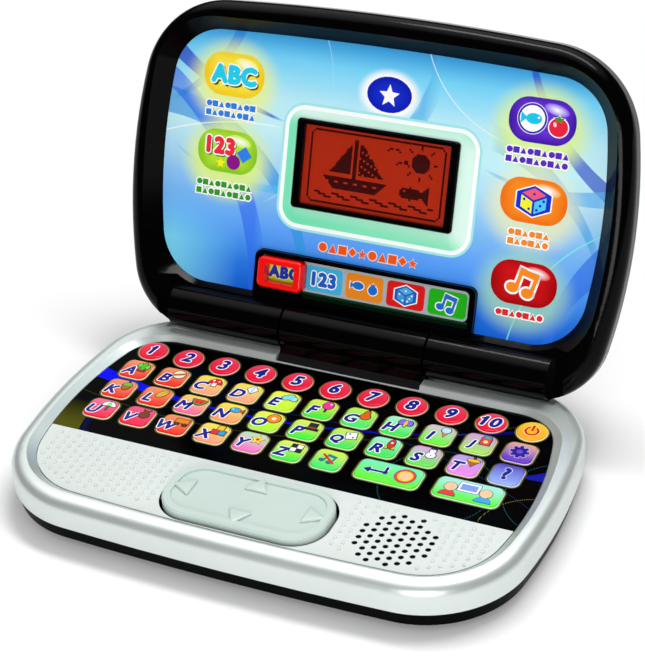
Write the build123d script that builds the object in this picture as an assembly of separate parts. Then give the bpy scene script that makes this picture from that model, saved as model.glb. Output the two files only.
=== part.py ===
"""Toy laptop computer: a flat base with a film keyboard, a tilting cursor pad and a loudspeaker,
and a folding lid with a dot display, a printed front panel and a five-place mode slider.

Millimetres. X right, Y back, Z up. The origin is on the table below the middle of the base.
Lid pieces are drawn flat (X right, Y up the lid from the hinge axis, Z out of its front face)
and are then turned about the hinge axis into the open position.
"""
import os
from math import cos, radians, sin

from build123d import *

os.makedirs("parts", exist_ok=True)

# ---- driving dimensions ---------------------------------------------------------------------
KEY_PITCH = 20.5        # column pitch of the keys
ROW_PITCH = 18.0        # row pitch of the keys
KEY_SIZE = 15.4         # letter key, both ways
KEY_WIDE = 32.4         # the two wide keys of the last row
KEY_RISE = 0.9          # how far a key bulges out of the film
KEY_SLOPE = 35          # slope of its flanks in degrees
COLUMNS = 11
ROWS = 4
KEYS_SIDE = 10.5        # film beside the key field
KEYS_BACK = 5.3         # film behind it
KEYS_FRONT = 11.3       # film in front of it
FILM_T = 0.6

RIM_W = 11.7            # rim width, outside to the flat field
RIM_ROUND = 6.5         # rounding of the rim outside
BACK_SHELF = 24.6       # field to the back of the base: crest and hinge trough
PALM_L = 46.5           # palm rest, front to back
SIDE_BOW = 10.8         # how far the left and right sides bow
END_BOW = 4.0           # how far front and back bow
FRONT_R = 50.0          # front corner radius
BACK_R = 45.0           # back corner radius
FIELD_R = 35.0          # back corners of the flat field, measured at the outside of the rim
FOOT_H = 1.5            # rubber foot and battery plinth below the bottom shell
PARTING_Z = 11.0        # seam of the silver case and the black bottom
DECK_Z = 21.6           # flat deck below the keyboard film
KEY_Z = 23.0            # top face of the keyboard film and of the palm rest
RIM_Z = 25.7            # crest of the silver rim
WALL = 2.2              # case wall
SHELL_STEP = 0.4        # step from the case in to the bottom shell at the seam
SHELL_DRAFT = 11.0      # draft of the bottom shell wall in degrees
SHELL_ROUND = 2.4       # rounding of its bottom edge
INLAY_GAP = 0.45        # gap round the palm rest and the film

PAD_W = 82.0            # cursor pad
PAD_L = 38.5
PAD_R = 16.0
PAD_RISE = 3.2          # pad rim above the palm rest
PAD_GAP = 1.5           # gap around the pad
PAD_BACK = 5.45         # palm rest behind the pad
PIVOT_Z = 18.6          # tilt axes of the pad
SPEAKER_SIDE = 60.2     # loudspeaker axis from the right side of the base
SPEAKER_R = 19.0
MAGNET_R = 9.5
MAGNET_T = 3.95
HOLE_R = 1.4            # holes of the speaker grille
HOLE_PITCH_X = 4.63     # columns of holes, every second one offset
HOLE_PITCH_Y = 4.5
GRILLE_R = 18.55        # holes lie inside this radius

HINGE_BACK = 8.1        # hinge axis in front of the back of the base
HINGE_Z = 35.1
BARREL_R = 11.7
BARREL_FREE = 0.7       # free space round a barrel
KNUCKLE_HALF = 38.6     # half length of the middle knuckle on the base
BARREL_SIDE = 30.3      # lid outline to the outer end of a barrel
BARREL_GAP = 1.2        # gap between knuckle and lid barrels
PIN_R = 2.5
LID_LEAN = 20.2         # lid leans back from upright by this angle

LID_OVER = 0.2          # lid wider than the base, each side
LID_OVER_FRONT = 1.3    # shut lid past the front of the base
LID_BOW = 13.0          # how far the sides of the lid bow
LID_TOP_BOW = 5.0
LID_TOP_R = 46.0        # top corner radius
LID_LOW_R = 36.0        # corners beside the hinge
LID_FRONT = 9.1         # crest of the lid border in front of the panel plane
LID_BACK = 10.5         # back of the lid behind the panel plane
LID_BORDER = 15.5       # border width
LID_WALL = 2.0
PANEL_T = 1.2           # printed panel
PANEL_R = 27.0
FLOOR_T = 2.0           # floor of the front bezel below the panel
PANEL_BOTTOM = 14.3     # lower edge of the panel above the hinge axis
LOW_BORDER = 3.0        # height of the border below the panel
LCD_W = 86.4
LCD_H = 45.2
LCD_S = 83.9            # display centre above the hinge axis
LCD_RISE = 1.8
LCD_RIM = 4.2
CELL_PITCH = 22.2       # pitch of the five modes
STRIP_X = 0.4           # middle mode
STRIP_S = 26.5          # slider and label centre above the hinge axis
SLIDER_W = 25.2
SLIDER_H = 16.0
SLIDER_TOP = 6.0
HOUSE_RIM = 1.6         # slider housing wall
HOUSE_CORNER = 4.0

BOARD_W = 68.0          # main board
BOARD_L = 58.0
BOARD_SIDE = 25.0       # its left edge from the left side of the base
BOARD_BACK = 22.0       # its centre behind the middle of the base
BOARD_EDGE = 4.0        # its posts from its edges
CHIP = 16.0

CELL_R = 7.1            # AA battery cell
CELL_L = 50.5
CELL_GAP = 15.3         # pitch of the three cells
DOOR_FRONT = 6.0        # front edge of the battery door behind the middle of the base
DOOR_T = 1.8

# ---- sizes that follow from them --------------------------------------------------------------
BASE_W = (COLUMNS - 1) * KEY_PITCH + KEY_SIZE + 2 * (KEYS_SIDE + RIM_W)
FILM_L = (ROWS - 1) * ROW_PITCH + KEY_SIZE + KEYS_BACK + KEYS_FRONT
BASE_L = RIM_W + PALM_L + FILM_L + BACK_SHELF
FILM_BACK_Y = BASE_L / 2 - BACK_SHELF
FILM_FRONT_Y = FILM_BACK_Y - FILM_L
ROW_ONE_Y = FILM_BACK_Y - KEYS_BACK - KEY_SIZE / 2
PAD_Y = FILM_FRONT_Y - PAD_BACK - PAD_L / 2
SPEAKER_X = BASE_W / 2 - SPEAKER_SIDE
SPEAKER_Y = PAD_Y + 0.5
HINGE_Y = BASE_L / 2 - HINGE_BACK
LID_W = BASE_W + 2 * LID_OVER
LID_TOP = HINGE_Y + BASE_L / 2 + LID_OVER_FRONT
BARREL_END = LID_W / 2 - BARREL_SIDE
BARREL_IN = KNUCKLE_HALF + BARREL_GAP
CELL_ONE_X = STRIP_X - 2 * CELL_PITCH
BOTTOM_Z = FOOT_H


# ---- small helpers --------------------------------------------------------------------------
def side(a, b, c):
    """One side of an outline: an arc through b, or a straight line if it has no bow."""
    bow = abs((b[0] - a[0]) * (c[1] - a[1]) - (b[1] - a[1]) * (c[0] - a[0]))
    return Line(a, c) if bow < 1 else ThreePointArc(a, b, c)


def bowed(half_w, y0, y1, side_bow, bow0, bow1, r0, r1):
    """Flat face with bowed sides; r0 rounds the two corners at y0 and r1 those at y1."""
    xc = half_w - side_bow
    ym = (y0 + y1) / 2
    low = side((-xc, y0 + bow0), (0, y0), (xc, y0 + bow0))
    right = side((xc, y0 + bow0), (half_w, ym), (xc, y1 - bow1))
    high = side((xc, y1 - bow1), (0, y1), (-xc, y1 - bow1))
    left = side((-xc, y1 - bow1), (-half_w, ym), (-xc, y0 + bow0))
    face = Sketch() + make_face([low, right, high, left])
    face = fillet(face.vertices().filter_by(lambda v: v.Y < ym), r0)
    corners = face.vertices().sort_by(Axis.Y)[-2:]
    return fillet(corners, r1)


def base_face(inset, back_y=None):
    """Outline of the base moved in by inset, with its own back line if one is given."""
    y1 = BASE_L / 2 - inset if back_y is None else back_y
    return bowed(BASE_W / 2 - inset, -BASE_L / 2 + inset, y1, SIDE_BOW, END_BOW,
                 END_BOW if back_y is None else END_BOW / 5,
                 FRONT_R - inset, (BACK_R if back_y is None else FIELD_R) - inset)


def lid_face(inset):
    """Outline of the lid moved in by inset."""
    return bowed(LID_W / 2 - inset, -BARREL_R + inset, LID_TOP - inset, LID_BOW, 0, LID_TOP_BOW,
                 LID_LOW_R - inset, LID_TOP_R - inset)


def panel_face(inset):
    """Outline of the printed panel moved in by inset."""
    w = LID_W / 2 - LID_BORDER - inset
    return bowed(w, PANEL_BOTTOM + inset, LID_TOP - LID_BORDER - inset, LID_BOW * 0.55, 0,
                 LID_TOP_BOW * 0.6, PANEL_R - inset, PANEL_R - inset)


def slab(face, z0, z1):
    """Extrude a face from z0 to z1."""
    return extrude(Pos(0, 0, z0) * face, z1 - z0)


def block(x0, x1, y0, y1, z0, z1):
    """Box from corner to corner."""
    return Pos((x0 + x1) / 2, (y0 + y1) / 2, (z0 + z1) / 2) * Box(x1 - x0, y1 - y0, z1 - z0)


def rod(x, y, r, z0, z1):
    """Upright cylinder."""
    return Pos(x, y, (z0 + z1) / 2) * Cylinder(r, z1 - z0)


def rod_x(x0, x1, y, z, r):
    """Cylinder along X."""
    return Pos((x0 + x1) / 2, y, z) * Rot(0, 90, 0) * Cylinder(r, x1 - x0)


def rod_y(y0, y1, x, z, r):
    """Cylinder along Y."""
    return Pos(x, (y0 + y1) / 2, z) * Rot(90, 0, 0) * Cylinder(r, y1 - y0)


def tile(x, y, w, h, r, z0, z1):
    """Plate with rounded corners."""
    return slab(Pos(x, y) * RectangleRounded(w, h, r), z0, z1)


def save(name, shape, place=None):
    """Write one piece to its own file."""
    shape = shape if place is None else place * shape
    solids = shape.solids()
    assert len(solids) == 1, (name, len(solids))
    solid = solids[0]
    solid.label = name
    export_step(solid, f"parts/{name}.step")


LID = Pos(0, HINGE_Y, HINGE_Z) * Rot(90 - LID_LEAN, 0, 0)
MIRROR = (-1, 1)
HALF_W = BASE_W / 2
HALF_L = BASE_L / 2
POSTS = [(s * (HALF_W - x), y) for s in MIRROR
         for x, y in ((29, 38 - HALF_L), (19, 16), (48, HALF_L - 24))]
FEET = [(s * (HALF_W - 42), y) for s in MIRROR for y in (32 - HALF_L, HALF_L - 34)]
BOARD_X = BOARD_SIDE + BOARD_W / 2 - HALF_W
BOARD_POSTS = [(BOARD_X + s * (BOARD_W / 2 - BOARD_EDGE), BOARD_BACK + t * (BOARD_L / 2 - BOARD_EDGE))
               for s in MIRROR for t in MIRROR]
BOARD_Z = PARTING_Z - 5.6   # underside of the main board

# ---- bottom shell: black dish with battery bay and screw posts ------------------------------


def hull(inset, z_bottom, rounding):
    """Solid dish below the seam: drafted walls and a rounded bottom edge."""
    dish = extrude(Pos(0, 0, PARTING_Z) * base_face(inset + SHELL_STEP), PARTING_Z - z_bottom,
                   dir=(0, 0, -1), taper=SHELL_DRAFT)
    return chamfer(dish.edges().group_by(Axis.Z)[0], rounding)


BAY_W = CELL_L + 8
BAY_L = CELL_GAP * 3 + 1.6
BAY_TOP = DOOR_T + 2 * CELL_R + 0.9
DOOR_X = BAY_W / 2 + 3
DOOR_Y = BAY_L / 2 + 3
BAY_Y = DOOR_FRONT + DOOR_Y
PLINTH_X = DOOR_X + 5
PLINTH_L = 2 * DOOR_Y + DOOR_FRONT + 11
PLINTH_Y = BAY_Y + DOOR_Y + 5 - PLINTH_L / 2
SCREW_X = DOOR_X - 8
SCREW_Y = BAY_Y - DOOR_Y + 4.2
shell = hull(0, BOTTOM_Z, SHELL_ROUND) - hull(WALL, BOTTOM_Z + WALL, SHELL_ROUND - 1)
shell += chamfer(tile(0, PLINTH_Y, 2 * PLINTH_X, PLINTH_L, 8, 0, BOTTOM_Z + WALL + 0.5)
                 .edges().group_by(Axis.Z)[0], 0.8)
shell += tile(0, BAY_Y, BAY_W + 3.6, BAY_L + 3.6, 2, BOTTOM_Z + 1, BAY_TOP + 1)
shell -= block(-BAY_W / 2, BAY_W / 2, BAY_Y - BAY_L / 2, BAY_Y + BAY_L / 2, -1, BAY_TOP)
shell -= tile(0, BAY_Y, 2 * DOOR_X + 0.6, 2 * DOOR_Y + 0.6, 4, -1, DOOR_T + 0.2)
shell -= rod(SCREW_X, SCREW_Y, 1.5, 0, DOOR_T + 1.8)
for x, y in POSTS:
    shell += rod(x, y, 4.6, BOTTOM_Z + 1, PARTING_Z - 0.1)
    shell -= rod(x, y, 3.5, 0, BOTTOM_Z + 4)
    shell -= rod(x, y, 1.6, 0, PARTING_Z + 1)
for x, y in FEET:
    shell -= rod(x, y, 6.1, 0, BOTTOM_Z + 0.6)
for x, y in BOARD_POSTS:
    shell += rod(x, y, 3.2, BOTTOM_Z + 1, BOARD_Z) + rod(x, y, 1.6, BOTTOM_Z + 1, BOARD_Z + 1.9)
save("base_bottom_shell", shell)

for i, (x, y) in enumerate(FEET, 1):
    save(f"rubber_foot_{i}", chamfer(rod(x, y, 6, 0, BOTTOM_Z + 0.6).edges().sort_by(Axis.Z)[0], 0.5))

for i, (x, y) in enumerate(POSTS, 1):
    screw = rod(x, y, 3.1, BOTTOM_Z + 2, BOTTOM_Z + 4) + rod(x, y, 1.35, BOTTOM_Z + 3, PARTING_Z + 2.5)
    screw -= block(x - 2, x + 2, y - 0.4, y + 0.4, BOTTOM_Z + 1.5, BOTTOM_Z + 2.9)
    save(f"case_screw_{i}", screw)

# battery door with finger ribs and one captive screw, three cells and their contacts
door = tile(0, BAY_Y, 2 * DOOR_X, 2 * DOOR_Y, 3.8, 0, DOOR_T)
for k in range(7):
    y = BAY_Y - 9 + 3 * k
    door -= block(-12, 12, y - 0.5, y + 0.5, -1, 0.4)
door -= rod(SCREW_X, SCREW_Y, 1.6, -1, DOOR_T + 1)
door -= rod(SCREW_X, SCREW_Y, 2.6, -1, 0.9)
save("battery_door", door)
door_screw = rod(SCREW_X, SCREW_Y, 2.4, 0.1, 0.9) + rod(SCREW_X, SCREW_Y, 1.4, 0.5, DOOR_T + 1.6)
door_screw -= block(SCREW_X - 2, SCREW_X + 2, SCREW_Y - 0.3, SCREW_Y + 0.3, -1, 0.45)
save("battery_door_screw", door_screw)
CELL_Z = DOOR_T + CELL_R + 0.3
for i in range(3):
    y = BAY_Y + (i - 1) * CELL_GAP
    turn = -1 if i == 1 else 1
    nub = turn * (CELL_L / 2 - 1)
    cell = rod_x(-CELL_L / 2 + 0.7, CELL_L / 2 - 0.7, y, CELL_Z, CELL_R)
    cell += rod_x(nub - 1, nub + 1, y, CELL_Z, 2.7)
    save(f"battery_cell_{i + 1}", cell)
for name, s in (("battery_contact_left", -1), ("battery_contact_right", 1)):
    x = s * (BAY_W / 2 - 0.4)
    plate = block(x - 0.3, x + 0.3, BAY_Y - BAY_L / 2 + 0.5, BAY_Y + BAY_L / 2 - 0.5,
                  DOOR_T + 1, BAY_TOP - 0.2)
    for i in range(3):
        flat = (i == 1) == (s < 0)
        long = 1.2 if flat else 2.6
        y = BAY_Y + (i - 1) * CELL_GAP
        plate += rod_x(min(x, x - s * long), max(x, x - s * long), y, CELL_Z, 2 if flat else 3.4)
    save(name, plate)

# ---- silver top case: rounded rim, flat deck, trough below the hinge ------------------------
case = slab(base_face(0), PARTING_Z, RIM_Z)
case = fillet(case.edges().group_by(Axis.Z)[-1], RIM_ROUND)
field = base_face(RIM_W, FILM_BACK_Y)
case -= slab(field, DECK_Z, KEY_Z + 0.01)
case -= loft([Pos(0, 0, KEY_Z) * field,
              Pos(0, 0, RIM_Z + 0.5) * base_face(RIM_W - 4.6, FILM_BACK_Y + 1.9)], ruled=True)
case -= slab(base_face(WALL + 0.3), PARTING_Z - 1, DECK_Z - 2)
case -= rod_x(-BARREL_END - 4, BARREL_END + 4, HINGE_Y, HINGE_Z, BARREL_R + 1.5)
case -= block(-KNUCKLE_HALF - 0.6, KNUCKLE_HALF + 0.6, FILM_BACK_Y + 0.3, BASE_L, DECK_Z, HINGE_Z)
for x, y in POSTS:
    case += rod(x, y, 3.6, PARTING_Z + 0.1, DECK_Z - 1)
    case -= rod(x, y, 1.4, PARTING_Z - 1, PARTING_Z + 3)
OPEN_W = PAD_W + 2 * PAD_GAP
OPEN_L = PAD_L + 2 * PAD_GAP
case -= block(-OPEN_W / 2, OPEN_W / 2, PAD_Y - OPEN_L / 2, PAD_Y + OPEN_L / 2, DECK_Z - 3, KEY_Z)
case -= rod(SPEAKER_X, SPEAKER_Y, SPEAKER_R + 1, DECK_Z - 3, KEY_Z)
save("base_top_case", case)

# ---- palm rest: grey-white plate with the pad opening and the speaker grille ----------------
palm = slab(base_face(RIM_W + INLAY_GAP, FILM_BACK_Y - INLAY_GAP), DECK_Z + 0.02, KEY_Z)
palm &= block(-BASE_W, BASE_W, -BASE_L, FILM_FRONT_Y - 0.1, 0, 40)
palm -= tile(0, PAD_Y, OPEN_W, OPEN_L, PAD_R + PAD_GAP, DECK_Z - 1, KEY_Z + 1)
HOLE = RegularPolygon(HOLE_R, 10)
for i in range(8):
    for j in range(-5, 6):
        x = (i - 3.5) * HOLE_PITCH_X
        y = j * HOLE_PITCH_Y + (1.3 if i % 2 == 0 else -0.9)
        if x * x + y * y < GRILLE_R ** 2:
            palm -= slab(Pos(SPEAKER_X + x, SPEAKER_Y + y) * HOLE, DECK_Z - 1, KEY_Z + 1)
save("palm_rest", palm)

# ---- keyboard: embossed film over a membrane switch sheet -----------------------------------
film = slab(base_face(RIM_W + INLAY_GAP, FILM_BACK_Y - INLAY_GAP), KEY_Z - FILM_T, KEY_Z)
film &= block(-BASE_W, BASE_W, FILM_FRONT_Y + 0.1, BASE_L, 0, 40)
LAST = COLUMNS // 2
DISC = Circle(KEY_SIZE / 2)
SQUARE = RectangleRounded(KEY_SIZE, KEY_SIZE, 3.6)
WIDE = RectangleRounded(KEY_WIDE, KEY_SIZE, 3.6)
KEYS = [(c * KEY_PITCH, 0, DISC) for c in range(-LAST, LAST + 1)]
KEYS += [(c * KEY_PITCH, r, SQUARE) for r in (1, 2) for c in range(-LAST, LAST + 1)]
KEYS += [(c * KEY_PITCH, 3, SQUARE) for c in range(-LAST, 2)]
KEYS += [(2.5 * KEY_PITCH, 3, WIDE), (4.41 * KEY_PITCH, 3, WIDE)]
for x, row, outline in KEYS:
    foot = Pos(x, ROW_ONE_Y - row * ROW_PITCH, KEY_Z - 0.1) * outline
    film += extrude(foot, KEY_RISE + 0.1, taper=KEY_SLOPE)
save("keyboard_film", film)
sheet = slab(base_face(RIM_W + INLAY_GAP + 1, FILM_BACK_Y - INLAY_GAP - 1), DECK_Z + 0.05,
             KEY_Z - FILM_T - 0.05)
sheet &= block(-BASE_W, BASE_W, FILM_FRONT_Y + 7, BASE_L, 0, 40)
save("membrane_switch_sheet", sheet)

# ---- cursor pad: cap, gimbal ring, bracket, board and rubber mat -----------------------------
PAD_TOP = KEY_Z + PAD_RISE
cap = tile(0, PAD_Y, PAD_W, PAD_L, PAD_R, PAD_TOP - 5.6, PAD_TOP)
cap = chamfer(cap.edges().group_by(Axis.Z)[-1], 0.8)
cap -= tile(0, PAD_Y, PAD_W - 8, PAD_L - 8, PAD_R - 4, PAD_TOP - 1, PAD_TOP + 1)
cap -= tile(0, PAD_Y, PAD_W - 4, PAD_L - 4, PAD_R - 2, PAD_TOP - 8, PAD_TOP - 3)
ARROW = Pos(0, 0, PAD_TOP - 1.2) * Polygon((-5.6, 0), (5.6, 0), (0, 9.5), align=None)
for turn, reach in ((0, 8.0), (90, 28.8), (180, 8.0), (270, 28.8)):
    cap += extrude(Pos(0, PAD_Y, 0) * Rot(0, 0, turn) * Pos(0, reach, 0) * ARROW, 1.0)
for s in (-1, 1):
    cap += block(min(s * 12.4, s * 15.4), max(s * 12.4, s * 15.4), PAD_Y - 3.5, PAD_Y + 3.5,
                 PIVOT_Z - 3, PAD_TOP - 2.9)
    cap += rod(s * 33, PAD_Y, 2.5, PAD_TOP - 5.4, PAD_TOP - 2.9)
    cap += rod(0, PAD_Y + s * 14.2, 2.0, PAD_TOP - 5.4, PAD_TOP - 2.9)
cap -= rod_x(-16, 16, PAD_Y, PIVOT_Z, 1.55)
save("cursor_pad_cap", cap)

ring = block(-12, 12, PAD_Y - 7, PAD_Y + 7, PIVOT_Z - 2, PIVOT_Z + 2)
ring -= block(-8, 8, PAD_Y - 4, PAD_Y + 4, PIVOT_Z - 3, PIVOT_Z + 3)
ring += rod_x(-15.2, -10, PAD_Y, PIVOT_Z, 1.5) + rod_x(10, 15.2, PAD_Y, PIVOT_Z, 1.5)
ring += rod_y(PAD_Y - 10.3, PAD_Y - 5, 0, PIVOT_Z, 1.5) + rod_y(PAD_Y + 5, PAD_Y + 10.3, 0, PIVOT_Z, 1.5)
save("cursor_pad_gimbal", ring)

PAD_BOARD_Z = PIVOT_Z - 5.6
bracket = block(-9, 9, PAD_Y - 10.4, PAD_Y + 10.4, BOTTOM_Z + WALL, PAD_BOARD_Z - 1.7)
for s in (-1, 1):
    y0 = PAD_Y + s * 7.5
    bracket += block(-4, 4, min(y0, y0 + s * 2.9), max(y0, y0 + s * 2.9), BOTTOM_Z + WALL, PIVOT_Z + 2.6)
bracket -= rod_y(PAD_Y - 12, PAD_Y + 12, 0, PIVOT_Z, 1.55)
save("cursor_pad_bracket", bracket)
HALF_PAD_W = PAD_W / 2
HALF_PAD_L = PAD_L / 2
board = block(1 - HALF_PAD_W, HALF_PAD_W - 1, PAD_Y + 2.2 - HALF_PAD_L, PAD_Y + HALF_PAD_L - 2.2,
              PAD_BOARD_Z - 1.6, PAD_BOARD_Z)
board -= block(-4.4, 4.4, PAD_Y - 10.8, PAD_Y + 10.8, PAD_BOARD_Z - 2, PAD_BOARD_Z + 1)
save("cursor_pad_board", board)
mat = block(3 - HALF_PAD_W, HALF_PAD_W - 3, PAD_Y + 3.2 - HALF_PAD_L, PAD_Y + HALF_PAD_L - 3.2,
            PAD_BOARD_Z + 0.05, PAD_BOARD_Z + 0.85)
mat -= block(-18, 18, PAD_Y - 11.2, PAD_Y + 11.2, PAD_BOARD_Z, PAD_BOARD_Z + 1)
for x, y in ((8 - HALF_PAD_W, 0), (HALF_PAD_W - 8, 0), (0, HALF_PAD_L - 5.6), (0, 5.6 - HALF_PAD_L)):
    mat += rod(x, PAD_Y + y, 2.2, PAD_BOARD_Z + 0.5, PAD_BOARD_Z + 3.2)
save("cursor_pad_rubber_mat", mat)

# ---- loudspeaker and main board --------------------------------------------------------------
basket = rod(SPEAKER_X, SPEAKER_Y, SPEAKER_R, DECK_Z - 3.4, DECK_Z - 0.2)
basket += rod(SPEAKER_X, SPEAKER_Y, MAGNET_R + 1.5, DECK_Z - 8.4, DECK_Z - 3)
basket -= rod(SPEAKER_X, SPEAKER_Y, SPEAKER_R - 2, DECK_Z - 2.6, DECK_Z)
basket -= rod(SPEAKER_X, SPEAKER_Y, MAGNET_R - 0.5, DECK_Z - 7.2, DECK_Z)
save("speaker_basket", basket)
save("speaker_magnet", rod(SPEAKER_X, SPEAKER_Y, MAGNET_R, DECK_Z - 8.45 - MAGNET_T, DECK_Z - 8.45))
cone = Pos(SPEAKER_X, SPEAKER_Y, DECK_Z - 2.4) * Cylinder(SPEAKER_R - 2.2, 0.4)
cone += Pos(SPEAKER_X, SPEAKER_Y, DECK_Z - 4.6) * Cylinder(7, 4.2)
cone -= Pos(SPEAKER_X, SPEAKER_Y, DECK_Z - 3.4) * Cylinder(6.2, 5.6)
save("speaker_cone", cone)
main = Pos(BOARD_X, BOARD_BACK, BOARD_Z + 0.81) * Box(BOARD_W, BOARD_L, 1.58)
for x, y in BOARD_POSTS:
    main -= rod(x, y, 1.7, 0, 30)
save("main_board", main)
chip = Pos(BOARD_X - 2, BOARD_BACK + 2, BOARD_Z + 2.41) * Box(CHIP, CHIP, 1.58)
save("main_board_chip", chip)

# ---- hinge: middle knuckle on the base, steel pin, bushing and cable -------------------------
profile = Polyline((FILM_BACK_Y + 0.6, DECK_Z + 0.1), (FILM_BACK_Y + 0.6, KEY_Z - 0.1),
                   (HINGE_Y - BARREL_R - 0.2, RIM_Z), (HINGE_Y - BARREL_R + 1.1, HINGE_Z - 3),
                   (HINGE_Y, HINGE_Z), (HINGE_Y + BARREL_R - 2, HINGE_Z - 5),
                   (BASE_L / 2 - 0.9, DECK_Z + 0.1), close=True)
body = Plane.YZ * make_face(profile)
knuckle = extrude(body, KNUCKLE_HALF, both=True)
knuckle += rod_x(-KNUCKLE_HALF, KNUCKLE_HALF, HINGE_Y, HINGE_Z, BARREL_R)
knuckle -= rod_x(-KNUCKLE_HALF + 5, KNUCKLE_HALF - 5, HINGE_Y, HINGE_Z, BARREL_R - 2.2)
knuckle -= rod_x(-KNUCKLE_HALF - 1, KNUCKLE_HALF + 1, HINGE_Y, HINGE_Z, PIN_R + 0.05)
save("hinge_knuckle", knuckle)
PIN_IN = KNUCKLE_HALF - 5
PIN_OUT = KNUCKLE_HALF + BARREL_GAP + 11
save("hinge_pin", rod_x(-PIN_OUT, -PIN_IN, HINGE_Y, HINGE_Z, PIN_R))
bush = rod_x(PIN_IN, PIN_OUT, HINGE_Y, HINGE_Z, PIN_R) - rod_x(PIN_IN - 1, PIN_OUT + 1, HINGE_Y, HINGE_Z, 1.6)
save("hinge_bushing", bush)
save("hinge_cable", rod_x(PIN_IN - 12, PIN_OUT - 0.5, HINGE_Y, HINGE_Z, 1.2))

# ---- lid: front bezel with border, slider housing and hinge barrels -------------------------
FLOOR_FRONT = -PANEL_T
FLOOR_BACK = -PANEL_T - FLOOR_T
HOUSE_HALF = 2 * CELL_PITCH + SLIDER_W / 2 + HOUSE_RIM + 1
HOUSE_L = STRIP_X - HOUSE_HALF
HOUSE_R = STRIP_X + HOUSE_HALF
HOUSE_TOP = STRIP_S + SLIDER_H / 2 + HOUSE_RIM + 1.2
SLOT_LOW = STRIP_S - SLIDER_H / 2 - 2.0
FREE_R = BARREL_R + BARREL_FREE


def trim_low(body):
    """Round the lid below the hinge axis to the barrel radius, so that it can turn."""
    low = body & rod_x(-LID_W, LID_W, 0, 0, BARREL_R)
    high = body & block(-LID_W, LID_W, 0, 400, -50, 50)
    return high + low


bezel = slab(lid_face(0), FLOOR_BACK, LID_FRONT)
bezel = fillet(bezel.edges().group_by(Axis.Z)[-1], 7.5)
bezel -= loft([Pos(0, 0, 0) * panel_face(0), Pos(0, 0, LID_FRONT + 0.5) * panel_face(-7.0)], ruled=True)
bezel -= slab(panel_face(0), FLOOR_FRONT, 0.01)
bezel -= block(-BARREL_END - 8, BARREL_END + 8, -30, PANEL_BOTTOM + 2, LOW_BORDER, 30)
bezel = trim_low(bezel)
inside = slab(lid_face(LID_WALL + 1), FLOOR_BACK - 1, LID_FRONT - LID_WALL)
inside -= slab(panel_face(-9), FLOOR_BACK - 2, 30)
bezel -= inside & block(-LID_W, LID_W, PANEL_BOTTOM + 8, LID_TOP, -30, 30)
house = block(HOUSE_L, HOUSE_R, PANEL_BOTTOM - 1, HOUSE_TOP, FLOOR_BACK, LOW_BORDER)
house = fillet(house.edges().filter_by(Axis.Z).group_by(Axis.Y)[-1], HOUSE_CORNER)
bezel += house
bezel += rod_x(-BARREL_END, -BARREL_IN, 0, 0, BARREL_R) + rod_x(BARREL_IN, BARREL_END, 0, 0, BARREL_R)
bezel -= rod_x(-BARREL_IN, BARREL_IN, 0, 0, FREE_R)
bezel -= block(-BARREL_IN, BARREL_IN, -30, 0, -30, 30)
bezel -= rod_x(-PIN_OUT - 0.5, PIN_OUT + 0.5, 0, 0, PIN_R + 0.02)
bezel -= block(HOUSE_L + HOUSE_RIM, HOUSE_R - HOUSE_RIM, SLOT_LOW, HOUSE_TOP - HOUSE_RIM, FLOOR_FRONT, 30)
bezel -= block(HOUSE_L + 4, HOUSE_R - 4, SLOT_LOW, SLOT_LOW + 2.2, -30, 30)
bezel -= block(-LCD_W / 2 + 2, LCD_W / 2 - 2, LCD_S - LCD_H / 2 + 2, LCD_S + LCD_H / 2 - 2, -30, 30)
LID_POSTS = [(m * (LID_W / 2 - x), s) for m in MIRROR for x, s in ((24.5, 34), (28.5, LID_TOP - 30))]
for x, s in LID_POSTS:
    bezel += rod(x, s, 3.4, FLOOR_BACK - 2.4, FLOOR_BACK + 0.5)
    bezel -= rod(x, s, 1.4, FLOOR_BACK - 3, FLOOR_BACK + 0.9)
save("lid_front_bezel", bezel, LID)

# lid back shell, screws and the printed panel
back = slab(lid_face(0), -LID_BACK, FLOOR_BACK - 0.05)
back = fillet(back.edges().group_by(Axis.Z)[0], 6.5)
back = trim_low(back)
back -= block(-BARREL_END - 0.6, BARREL_END + 0.6, -30, FREE_R + 0.2, -30, 30)
back -= slab(lid_face(3.2), -LID_BACK + 2, 0) & block(-LID_W, LID_W, FREE_R + 2.4, 400, -30, 30)
for x, s in LID_POSTS:
    back += rod(x, s, 4.6, -LID_BACK + 1, FLOOR_BACK - 2.6)
    back -= rod(x, s, 3.4, -LID_BACK - 1, -LID_BACK + 2.4)
    back -= rod(x, s, 1.6, -LID_BACK - 1, 0)
save("lid_back_shell", back, LID)
for i, (x, s) in enumerate(LID_POSTS, 1):
    screw = rod(x, s, 3.0, -LID_BACK + 0.6, -LID_BACK + 2.4)
    screw += rod(x, s, 1.35, -LID_BACK + 2, FLOOR_BACK + 0.5)
    screw -= block(x - 2, x + 2, s - 0.4, s + 0.4, -LID_BACK, -LID_BACK + 1.4)
    save(f"lid_screw_{i}", screw, LID)

panel = slab(panel_face(0.15), -PANEL_T + 0.02, 0)
notch = block(HOUSE_L - 0.15, HOUSE_R + 0.15, 0, HOUSE_TOP + 0.15, -9, 9)
panel -= fillet(notch.edges().filter_by(Axis.Z).group_by(Axis.Y)[-1], HOUSE_CORNER)
panel -= block(-LCD_W / 2 - 0.15, LCD_W / 2 + 0.15, LCD_S - LCD_H / 2 - 0.15,
               LCD_S + LCD_H / 2 + 0.15, -9, 9)
save("lid_printed_panel", panel, LID)

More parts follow.
